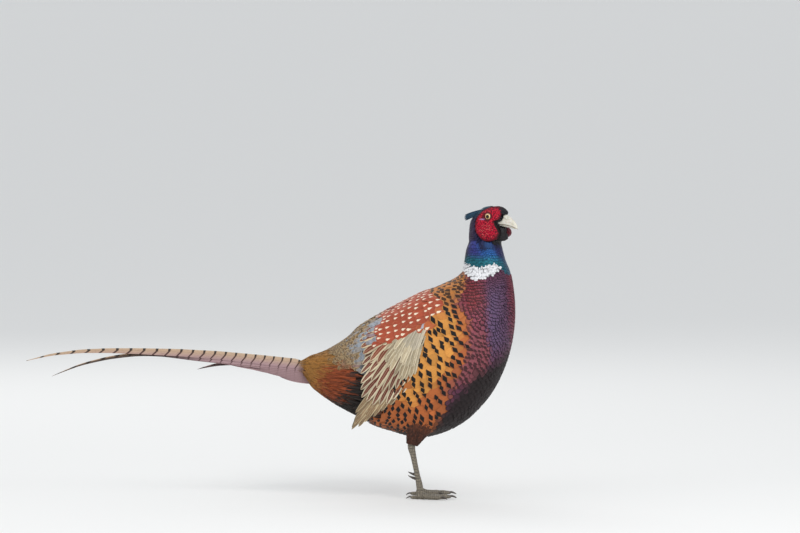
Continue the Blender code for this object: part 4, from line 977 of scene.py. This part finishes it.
def build_bill():
    f = Finish("bill_ivory", Specular_IOR_Level=0.5, Subsurface_Weight=0.05)
    ahead, _, _ = f.three(f.spread("Bill", "Vector"))
    grain = f.noise(f.place((1, 1, 3)), 260.0, 4.0, 0.6)
    colour = f.mix(f.fade(grain, 0.35, 0.7), "dcd8cd", "c2baa6")
    colour = f.mix((1 - f.fade(ahead, 28.0, 38.0)) * 0.55, colour, "c4beb0")
    colour = f.mix(f.fade(ahead, 47.0, 53.0) * 0.5, colour, "e8e2cf")
    # painted shade: a dark line along the mouth, where the upper and lower bill meet
    mouth_line_shade = f.fade(abs(f.spread("Lip", "Value")) * -1.0, -1.1, -0.2)
    f.set(Base_Color=f.mix(mouth_line_shade * 0.75, colour, "5d5138"), Roughness=grain * 0.25 + 0.28)
    f.bump(grain, 0.25, 0.0004)
    sides, steps = 30, 60
    b = math.pi * np.arange(sides + 1) / sides
    for name, sign, last in (("bill_upper", 1, 10.0), ("bill_lower", -1, 7.0)):
        rows = curve(BILL_SECTIONS, last * np.arange(steps + 1) / steps)[:, :, None]
        ahead, top, mouth, under, wide, wide_low = np.moveaxis(rows, 1, 0)
        crest, width, fullness = (top, wide, 0.72) if sign > 0 else (under, wide_low, 0.9)
        edge = mouth + 0.15 * sign
        y, rise = width * np.cos(b), (crest - edge) * np.maximum(np.sin(b), 0.0) ** fullness
        if sign > 0:
            # a soft swelling over the nostril and a dip behind it
            rise = rise + 0.9 * np.exp(-((ahead - 33.0) / 3.2) ** 2) * np.sin(b) ** 2
            dent = np.exp(-((ahead - 36.5) / 2.2) ** 2 - ((edge + rise - 4.0) / 0.8) ** 2)
            y = y - np.where(np.abs(y) > 1.5, np.copysign(1.3 * dent, y), 0)
        # one more point closes each row at the mouth's middle
        y, rise = (np.pad(values, ((0, 0), (0, 1))) for values in (y, rise))
        points = [np.stack([ahead + 0 * y, y, edge + rise], -1).reshape(-1, 3)]
        row = np.arange(sides + 2)[None]
        faces = [rings(steps + 1, sides + 2), row[:, ::-1], row + steps * (sides + 2)]
        lips = [rise.ravel()]
        for side in (-1, 1) if sign > 0 else ():
            # a swollen pale lid over each nostril, closed and sunk into the upper bill
            out, across, up, _, lid_faces = ball(14, 20)
            faces.append(lid_faces + sum(map(len, points)))
            points.append(np.stack([
                35.4 + 4.0 * across - 0.9 * up, side * (4.4 + 2.5 * out), 8.3 + 3.3 * up - 0.5 * across], -1))
            lips.append(np.full(len(out), 5.0))
        points = np.concatenate(points)
        spreads = {"Bill": points, "Lip": np.concatenate(lips)}
        obj = piece(name + "_horn", head_place(points), faces, f, spreads, sharp=CREASE)
        recalculate(obj)
        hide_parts(name)


TUFT_ROOT, TUFT_TIP, TUFT_VANES = np.array([-5.5, -8.5, 17.6]), np.array([-33.0, -17.0, 5.4]), 24


def build_tufts():
    """The ear tufts: a bundle of dark feathers behind each eye."""
    finish = feather_finish("ear_tuft_feathers", 0.6, 0.5)
    ahead = TUFT_TIP - TUFT_ROOT
    out = unit(np.array([ahead[1], -ahead[0], 0.0]))
    out = out if out[1] < 0 else -out
    up = unit(np.cross(out, ahead))
    up = up if up[2] > 0 else -up
    u, v, w, below, _ = ROUND_VANE
    points, share = [], v[:, None]
    for _ in range(TUFT_VANES):
        spin = chance.uniform(-5, 5)
        length = 1.03 - 0.02 * abs(spin) - chance.uniform(0, 0.26)
        stand = chance.uniform(-1.8, 2.2)
        way = (ahead + up * np.linalg.norm(ahead) * math.tan(math.radians(spin))) * length
        side = unit(np.cross(out, way))
        root = TUFT_ROOT + up * chance.uniform(-2.8, 2.6)
        middle = root + way * share + out * stand * (0.5 + 0.5 * share) + up * 0.5 * np.sin(math.pi * share)
        arch = 0.3 * (1 - u ** 2) - 0.25 * below
        points.append(middle + side * (u * w * 1.3)[:, None] + out * arch[:, None])
    ground = paint("2b4a60") * chance.uniform(0.6, 1.2, (TUFT_VANES, 1))
    spreads = vane_spreads(ROUND_VANE, TUFT_VANES, ground, ground * 0.4, "000000", [0.5, 0, 0, 0.8])
    shaped = vanes(np.array(points), ROUND_VANE, scattered(TUFT_VANES))
    shaped.update(finish=finish, place=head_place, spreads=spreads)
    for side, obj in on_both_sides("ear_tuft_feathers", **shaped):
        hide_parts("ear_tuft_" + side)


CHIN_MIDDLE, CHIN_TOP, CHIN_DEPTH, CHIN_REACH, CHIN_HALF = 23.2, -8.4, 21.0, 12.4, 9.0
CHIN_ROWS, CHIN_COUNT = 8, 26


def build_chin():
    """The full black chin under the bill: rows of small feathers that hang and close below."""
    finish = feather_finish("chin_feathers_black", 0.3, 0.6)
    u, v, w, below, _ = FINE_VANE
    points = []
    for row, start in enumerate(np.linspace(0.0, 0.72, CHIN_ROWS)):
        for k in range(CHIN_COUNT):
            a = math.radians(-118 + 236 * (k + 0.5 * (row % 2)) / CHIN_COUNT + chance.normal(0, 2.5))
            fall = start + (min(start + 0.42, 1.0) - start) * v * chance.uniform(0.92, 1.04)
            full = 0.82 + 0.2 * np.sin(np.clip(fall, 0, 1) * math.pi * 0.62)
            full = full * (1 - 0.45 * smooth(fall, 0.82, 1.04))
            out = unit(np.array([math.cos(a) / CHIN_REACH, math.sin(a) / CHIN_HALF, 0.0]))
            round_ = unit(np.array([-CHIN_REACH * math.sin(a), CHIN_HALF * math.cos(a), 0.0]))
            ahead, across = CHIN_REACH * math.cos(a) * full, 9.8 * math.sin(a) * full
            middle = np.stack([CHIN_MIDDLE + ahead, across, CHIN_TOP - CHIN_DEPTH * fall], -1)
            lift = 0.9 * v ** 1.4 - 1.0 * (1 - v) + 0.3 * (1 - u ** 2) - 0.25 * below
            points.append(middle + round_ * (u * w * 1.9)[:, None] + out * lift[:, None])
    n = len(points)
    ground = paint("14110f") * chance.uniform(0.6, 1.5, (n, 1)) + paint("0a0e16") * chance.random((n, 1))
    spreads = vane_spreads(FINE_VANE, n, ground, ground * 0.4, "000000", [0.7, 0, 0, 0.25])
    shaped = vanes(head_place(points), FINE_VANE, scattered(n))
    piece("chin_feathers", finish=finish, spreads=spreads, **shaped)


# The wings

DRAPE_STEP = 3.0
DRAPE_X, DRAPE_Z = np.arange(60, 300, DRAPE_STEP), np.arange(80, 330, DRAPE_STEP)


def drape_table():
    """How far out the hanging wing lies over the body, on a grid of places in side view."""
    x, z = np.meshgrid(DRAPE_X, DRAPE_Z, indexing="ij")
    bx, bz, fx, fz, width, _ = np.moveaxis(curve(STATIONS, np.linspace(11, 23, 241)), -1, 0)
    mx, mz, kx, kz = (bx + fx) / 2, (bz + fz) / 2, (bx - fx) / 2, (bz - fz) / 2
    dx, dz = x[..., None] - mx, z[..., None] - mz
    turn = dx * kz - dz * kx
    share = (dx * kx + dz * kz) / (kx ** 2 + kz ** 2)
    changed = (turn[..., 1:] > 0) != (turn[..., :-1] > 0)
    best = np.where(changed, np.abs(share[..., 1:]), 99.0).argmin(-1)
    s = np.take_along_axis(share, best[..., None] + 1, -1)[..., 0]
    return width[best + 1] * np.sqrt(np.clip(1 - (s / np.where(s < 0, 1.45, 1.0)) ** 2, 0, 1))


DRAPE = drape_table()


def drape(x, z):
    """The drape table's value at any place, blended between its points."""
    i = np.clip((x - DRAPE_X[0]) / DRAPE_STEP, 0, len(DRAPE_X) - 1.001)
    j = np.clip((z - DRAPE_Z[0]) / DRAPE_STEP, 0, len(DRAPE_Z) - 1.001)
    i0, j0 = i.astype(int), j.astype(int)
    a, b = i - i0, j - j0
    return (DRAPE[i0, j0] * (1 - a) * (1 - b) + DRAPE[i0 + 1, j0] * a * (1 - b)
            + DRAPE[i0, j0 + 1] * (1 - a) * b + DRAPE[i0 + 1, j0 + 1] * a * b)


def hung(x, z, height):
    """Places in side view put over the right side of the body, at a height over the drape."""
    out = drape(x, z)
    sx, sz = (drape(x + 4, z) - drape(x - 4, z)) / 8, (drape(x, z + 4) - drape(x, z - 4)) / 8
    outward = unit(np.stack([-sx, -np.ones_like(sx), -sz], -1))
    return np.stack([x, -out, z], -1) + outward * height[..., None]


LONG_VANE = tile_shape([0.5, 0.72, 0.9, 1.0, 1.0, 0.92, 0.74, 0.44, 0.1],
                       [0, 0.15, 0.32, 0.48, 0.64, 0.78, 0.89, 0.965, 1.0], 9)

# name, number, half width and stand-off in millimetres, ground, rim and mark colours,
# amounts of rim, streaks and bars, where the rim starts, the line of the roots and the curve of the tips
WING_TIERS = [
    ("primaries", 10, 4.6, 3.4, ("94795a", "c9b894", "4a3424"), (0.8, 0.9, 0.6, 0.55),
     [(413, 370), (404, 356)], [
        (396, 398), (386, 405), (374, 414), (362, 422), (354.5, 427), (355, 419), (357, 410)]),
    ("secondaries", 13, 5.6, 5.2, ("6a2c22", "d0c2a4", "4c2018"), (1.0, 0.35, 0, 0.44),
     [(416, 356), (398, 334)], [
        (404, 388), (396, 394), (387, 400), (377, 402), (368, 400), (363, 392), (361.5, 380), (362.5, 368),
        (366, 356)]),
    ("secondaries", 11, 5.2, 7.4, ("72342a", "cdbf9f", "54261c"), (1.0, 0.35, 0, 0.42),
     [(418, 350), (398, 330)], [
        (408, 378), (400, 384), (391, 388), (381, 388), (373, 380), (370, 368), (372, 356), (376, 346)]),
    ("tertials", 7, 5.4, 9.0, ("7c3e2c", "c9b696", "5a2c20"), (1.0, 0.5, 0, 0.5),
     [(400, 336), (388, 328)], [
        (378, 362), (368, 356), (362, 348), (362, 340), (368, 334)]),
    ("coverts", 13, 4.0, 9.4, ("aa997c", "dccfb0", "5c4232"), (0.8, 1.0, 0, 0.46),
     [(422, 344), (402, 328)], [
        (414, 371), (407, 376), (399, 376), (391, 370), (386, 360), (384, 350), (386, 340)]),
    ("coverts", 12, 3.8, 10.8, ("b1a387", "dcd0b4", "644a3a"), (0.7, 1.0, 0, 0.48),
     [(426, 334), (408, 324)], [
        (416, 363), (410, 365), (403, 362), (397, 354), (394, 344), (396, 334)]),
    ("coverts", 13, 3.6, 11.4, ("b4a993", "d4c9b4", "705c4e"), (0.5, 0.7, 0, 0.5),
     [(429, 322), (414, 318)], [
        (417, 347), (412, 349), (406, 344), (402, 336), (404, 328)]),
    ("coverts", 12, 3.6, 12.0, ("a3a2ac", "b6b2b0", "868088"), (0.4, 0.5, 0, 0.5),
     [(431, 315), (419, 314)], [
        (423, 328), (418, 330), (412, 327), (409, 321)]),
]


def wing_finish():
    """Wing quills: a coloured middle, pale edges with fine streaks, a shaft line and slanting barbs."""
    f = VaneFinish("wing_quills", Specular_IOR_Level=0.3)
    ground, rim, mark, edges, streaks, bars, starts = f.looks()
    v, side, luck = f.v, f.side, f.luck
    strands = f.barbs(3.0, 9, 34, 9, 50, 2.0, 3.0, 0.6)
    blotch = f.barbs(4.5, 5, 2.5, 0, 30, 1.6, 3.0, 0.6)
    edge = abs(f.u) + v ** 8 * 0.12 + (strands - 0.5) * 0.25 + (blotch - 0.5) * 0.5
    colour = f.mix(f.fade(edge - starts, 0.0, 0.14) * edges, ground, rim)
    colour = f.mix(f.fade(blotch + (strands - 0.5) * 0.4, 0.52, 0.66) * streaks * 0.75, colour, mark)
    wave = (v * 13 + luck * 3 - abs(side) * 1.2 + (strands - 0.5) * 0.5).sine()
    colour = f.mix(f.fade(wave, 0.45, 0.8) * bars * 0.6, colour, mark)
    colour = f.mix((1 - f.fade(abs(side), 0.02, 0.06)) * 0.55, colour, "cdbd98")
    f.set(Base_Color=f.tint(colour, (strands - 0.5) * 0.6 + (luck - 0.5) * 0.36 + 1.0), Roughness=0.65)
    return f.bump(strands, 0.4, 0.0006)


def build_wings():
    """Both hanging wings, with one piece for each kind of feather."""
    finish = wing_finish()
    u, v, w, below, _ = LONG_VANE
    every = {}
    for name, n, half, stand, (ground, rim, mark), kinds, roots, tips in WING_TIERS:
        k = np.arange(n) / (n - 1)
        roots, tips = sketched(roots), sketched(tips)
        root = roots[0] + (roots[1] - roots[0]) * k[:, None] + chance.normal(0, 0.8, (n, 2))
        tip = curve(tips, k * (len(tips) - 1)) + chance.normal(0, 1.1, (n, 2))
        way = tip - root
        side = unit(np.stack([-way[:, 1], way[:, 0]], -1))
        side = np.where(side[:, 1:] < 0, -side, side)
        # each vane bows a little, its hollow side to the belly
        bend = np.sin(np.pi * v)[None, :, None] * side[:, None] * chance.normal(2.2, 0.8, (n, 1, 1))
        middle = root[:, None] + way[:, None] * v[None, :, None] + bend
        widths = half * chance.uniform(0.88, 1.12, n)
        place = middle + side[:, None] * (widths[:, None] * (u * w))[..., None]
        height = stand + 0.5 * (1 - u ** 2) - 0.6 * (u * w) - 0.25 * below
        height = height - 1.4 * (1 - v) ** 2 + chance.normal(0, 0.12, (n, 1)) - 0.8 * v ** 2 * (stand > 6)
        points = hung(place[..., 0], place[..., 1], height)
        shade = chance.uniform(0.8, 1.15, (n, 1))
        every.setdefault(name, []).append(
            (points, root, vane_spreads(LONG_VANE, n, paint(ground) * shade, rim, mark, kinds)))
    for name, tiers in every.items():
        points, roots, spreads = zip(*tiers)
        spreads = {key: np.concatenate([tier[key] for tier in spreads]) for key in spreads[0]}
        shaped = vanes(np.concatenate(points), LONG_VANE, np.concatenate(roots) / 600.0)
        shaped["faces"] = [shaped["faces"][0][:, ::-1]]
        for side, obj in on_both_sides("wing_" + name, finish=finish, spreads=spreads, **shaped):
            if name == "secondaries":
                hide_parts("wing_" + side)


# The tail

TAIL_RIDGE = [
    (60.0, 221.0), (45.0, 222.6), (-20.0, 229.5), (-86.0, 235.5), (-150.0, 239.0), (-212.0, 240.3),
    (-262.0, 240.4), (-307.0, 238.4), (-354.0, 231.8), (-393.0, 221.0),
]
TAIL_ROOT_X, TAIL_SLOPE, LAYER = 60.0, math.radians(60.0), 0.95
# half width of the topmost feathers, and how much more each lower pair has, in millimetres
TAIL_HALF, TAIL_HALF_MORE = 19.0, 2.6
TAIL_TIPS = {
    -1: [-393.0, -352.0, -190.0, -119.0, -75.0, -45.0, -20.0, 0.0, 8.0],
    1: [-376.0, -262.0, -184.0, -128.0, -80.0, -48.0, -22.0, -2.0, 8.0],
}
TAIL_DROOPS = {-1: {1: 33.0, 3: 16.0}, 1: {}}
TIP_SHARES = [0.06, 0.12, 0.35, 0.5, 0.55, 0.55, 0.55, 0.55, 0.55]


def tail_finish():
    """Buff to lavender-pink vanes with thin dark bars that slant from the shaft, and fine mottling."""
    f = VaneFinish("tail_quills", Specular_IOR_Level=0.35)
    side = f.side
    down, bars, droop_shade = (f.spread(key, "Value") for key in ("Down", "Bars", "DroopShade"))
    strands = f.barbs(3.0, 9, 160, 7, 50, 1.6, 3.0, 0.6)
    ground = f.mix(f.fade(down + (strands - 0.5) * 0.3, 0.1, 0.75), "bfa286", "a48588")
    ground = f.mix((1 - f.fade(down, 0.03, 0.12)) * 0.5, ground, "d8ccb6")
    ground = f.mix(f.fade(strands, 0.48, 0.7) * 0.6, ground, "7f645a")
    wave = (bars + (strands - 0.5) * 0.10 - abs(side) * 0.12).part()
    line = f.fade((abs(wave - 0.5) + down * 0.055) * -1.0, -0.135, -0.085)
    line = line * (1 - f.fade(down, 0.62, 1.1) * 0.85)
    colour = f.mix(line * 0.95, ground, f.mix(f.fade(down, 0.12, 0.42), "140c09", "40201f"))
    # painted shade: the drooping vanes' hollow side is painted dark, with pale marks on their upper edge
    pale = f.fade(side * -1.0, 0.1, 0.5) * f.fade(abs(wave - 0.5), 0.14, 0.24)
    colour = f.mix(droop_shade * (1 - pale), colour, "211811")
    colour = f.mix((1 - f.fade(abs(side), 0.015, 0.04)) * 0.5, colour, "7c6446")
    f.set(Base_Color=f.tint(colour, (strands - 0.5) * 0.4 + 1.0), Roughness=0.55)
    return f.bump(strands, 0.3, 0.0006)


def tail_feather(side, order, shape):
    """The points of one tail feather, its bars, how far down its side they lie, and its painted shade where it
    droops.
    """
    u, s, _, below, _ = shape
    down = np.array([0, side * math.cos(TAIL_SLOPE), -math.sin(TAIL_SLOPE)])
    outward = np.array([0, side * math.sin(TAIL_SLOPE), math.cos(TAIL_SLOPE)])
    inner_edge = (0.3 + math.sin(TAIL_SLOPE) * LAYER * order) / math.cos(TAIL_SLOPE)
    outer_edge = TAIL_HALF + TAIL_HALF_MORE * order
    line = inner_edge + TIP_SHARES[order] * (outer_edge - inner_edge)
    tip = TAIL_TIPS[side][order]
    droop = TAIL_DROOPS[side].get(order, 0.0)
    power = 1.3 if order == 0 else 2.6
    x = TAIL_ROOT_X + (tip - TAIL_ROOT_X) * s
    opened = np.minimum((TAIL_ROOT_X - x) / 20.0, 1.0)
    width = (0.5 + 0.5 * opened) * np.maximum(np.maximum(1 - s ** power, 0) ** 0.75, 0.05)
    if droop:
        width = width * (1 - 0.5 * smooth(s, 0.4, 0.7))
    drop = droop * np.maximum((s - 0.5) / 0.5, 0) ** 2 + 5.0 * (1 - opened)
    ridge_rows = np.array(TAIL_RIDGE)[::-1]
    ridge_z = np.interp(x, ridge_rows[:, 0], ridge_rows[:, 1])
    ridge = np.stack([x, 0 * x, ridge_z - drop], -1) - outward * LAYER * order
    near, far = line - (line - inner_edge) * width, line + (outer_edge - line) * width
    shaft = near + 0.4 * (far - near)
    along = np.where(u < 0, shaft + (shaft - near) * u, shaft + (far - shaft) * u)
    crown = 0.4 * width * (1 - np.abs(u)) - 0.45 * below
    # the count of bars passed, which lie ever further apart from the root on
    bars = 30.9 * np.log(1 + np.maximum(40.0 - x, -30.0) * (11.0 / 340.0) / 13.0) - 0.032 * along
    # painted shade over the hollow side of a drooping feather
    droop_shade = smooth(s, 0.35, 0.55) * (0.85 if droop else 0.0)
    return ridge + down * along[:, None] + outward * crown[:, None], bars, along / 24.0, droop_shade


def build_tail():
    """The tail: feathers in two slopes that meet at its ridge."""
    rows = np.concatenate([np.linspace(0, 0.9, 37), [0.93, 0.955, 0.975, 0.99, 1.0]])
    shape = tile_shape(np.ones(len(rows)), rows, 9)
    u, v, _, _, faces = shape
    orders = range(len(TIP_SHARES))
    feathers = [tail_feather(side, order, shape) for _, side in SIDES for order in orders]
    points, bars, downs, droop_shades = map(np.array, zip(*feathers))
    bars = bars + 0.06 * np.tile(orders, 2)[:, None]
    n = len(points)
    faces = [(faces if k >= n / 2 else faces[:, ::-1]) + k * len(u) for k in range(n)]
    spreads = {
        "Vane": np.tile(np.stack([u, v, u], -1), (n, 1)), "Draw": np.repeat(chance.random(n), len(u)),
        "Bars": bars.ravel(), "Down": downs.ravel(), "DroopShade": droop_shades.ravel(),
    }
    uv = np.stack([0.5 + points[..., 0] / 900.0, (np.arange(n) / n)[:, None] + 0.04 * (u * 0.5 + 0.55)], -1)
    obj = piece("tail_quills", points, faces, tail_finish(), spreads, uv.reshape(-1, 2), CREASE)
    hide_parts("tail")


# Legs, feet, claws and spurs

def scaled_skin(name, axis, per_metre):
    """Horny skin in rows of plates across the leg or toes, with small scales between and dark seams."""
    f = Finish(name, Specular_IOR_Level=0.4)
    grain = f.noise(f.place(), 700.0, 3.0)
    cells = f.node("TexVoronoi", {"feature": "DISTANCE_TO_EDGE"}, {"Vector": f.place(), "Scale": 420.0})
    wave = (f.three(f.place())[axis] * per_metre + (f.noise(f.place(), 90.0, 2.0) - 0.5) * 0.8).part()
    line = (1 - f.fade(0.5 - abs(wave - 0.5), 0.04, 0.14)).most((1 - f.fade(cells, 0.02, 0.12)) * 0.5)
    colour = f.mix(f.fade(grain, 0.35, 0.7), "746c5e", "9b9180")
    f.set(Base_Color=f.mix(line * 0.75, colour, "322c25"), Roughness=line * 0.3 + 0.42)
    return f.bump(1 - line, 0.8, 0.0007)


def claw_horn():
    f = Finish("claw_horn_fine", Specular_IOR_Level=0.5)
    streaks = f.noise(f.place((1, 1, 0.3)), 600.0, 3.0)
    f.set(Base_Color=f.mix(streaks, "1d1916", "5b5148"), Roughness=streaks * 0.2 + 0.3)
    return f.bump(streaks, 0.2, 0.0003)


def dress_legs():
    claw, shank, toes = claw_horn(), scaled_skin("shank_scales", 2, 210.0), scaled_skin("toe_scales", 0, 330.0)
    for side, _ in SIDES:
        put_on("shank_" + side, shank)
        put_on("foot_" + side, toes)
        put_on("spur_" + side, claw)
        for toe in ("inner", "middle", "outer", "hind"):
            put_on(f"claw_{side}_{toe}", claw)


def put_on(node, finish):
    """Gives a node that is shown as it is a new finish."""
    for slot in bpy.data.objects[node].material_slots:
        slot.material = finish.material


# Floor, light and camera

FLOOR_HALF = 1500
# place, size in metres, power in watts
LAMPS = {
    "key": ((1.6, -2.4, 2.6), 1.6, 44.0),
    "fill": ((-2.2, -2.0, 1.6), 2.2, 12.0),
    "back": ((-0.6, 2.6, 2.2), 1.6, 16.0),
}
SKY_COLOUR, SKY_STRENGTH = (0.93, 0.96, 1.0, 1), 0.78
LAMP_AIM, CAMERA_AIM = Vector((0.15, 0, 0.25)), Vector((0.2056, 0.0, 0.3704))
CAMERA_LIFT, CAMERA_FAR, LENS_MM = math.radians(3.0), 9.0, 253.0


def aimed(obj, place, aim):
    """Puts a lamp or camera in its place, looking at its aim."""
    obj.location = place
    obj.rotation_mode = "QUATERNION"
    obj.rotation_quaternion = (aim - Vector(place)).to_track_quat("-Z", "Y")
    return obj


def set_stage():
    floor = Finish("pale_floor", Base_Color="f0efec", Roughness=0.9)
    mesh = bpy.data.meshes.new("floor")
    corners = [(x * FLOOR_HALF, y * FLOOR_HALF, 0) for x, y in ((-1, -1), (1, -1), (1, 1), (-1, 1))]
    mesh.from_pydata(corners, [], [(0, 1, 2, 3)])
    mesh.materials.append(floor.material)
    add_object("floor", mesh)
    scene = bpy.context.scene
    scene.world = scene.world or bpy.data.worlds.new("studio")
    scene.world.use_nodes = True
    sky = scene.world.node_tree.nodes["Background"]
    sky.inputs[0].default_value, sky.inputs[1].default_value = SKY_COLOUR, SKY_STRENGTH
    for name, (place, size, power) in LAMPS.items():
        data = bpy.data.lights.new(name, "AREA")
        data.energy, data.size = power, size
        aimed(add_object(name, data), place, LAMP_AIM)
    data = bpy.data.cameras.new("camera")
    data.sensor_width, data.lens = 36.0, LENS_MM
    away = Vector((0, -math.cos(CAMERA_LIFT), math.sin(CAMERA_LIFT))) * CAMERA_FAR
    scene.camera = aimed(add_object("camera", data), CAMERA_AIM + away, CAMERA_AIM)
    scene.view_settings.view_transform = "Standard"


set_stage()
build_skin()
build_coat()
build_thigh_feathers()
build_face()
build_eyes()
build_bill()
build_tufts()
build_chin()
build_wings()
build_tail()
dress_legs()
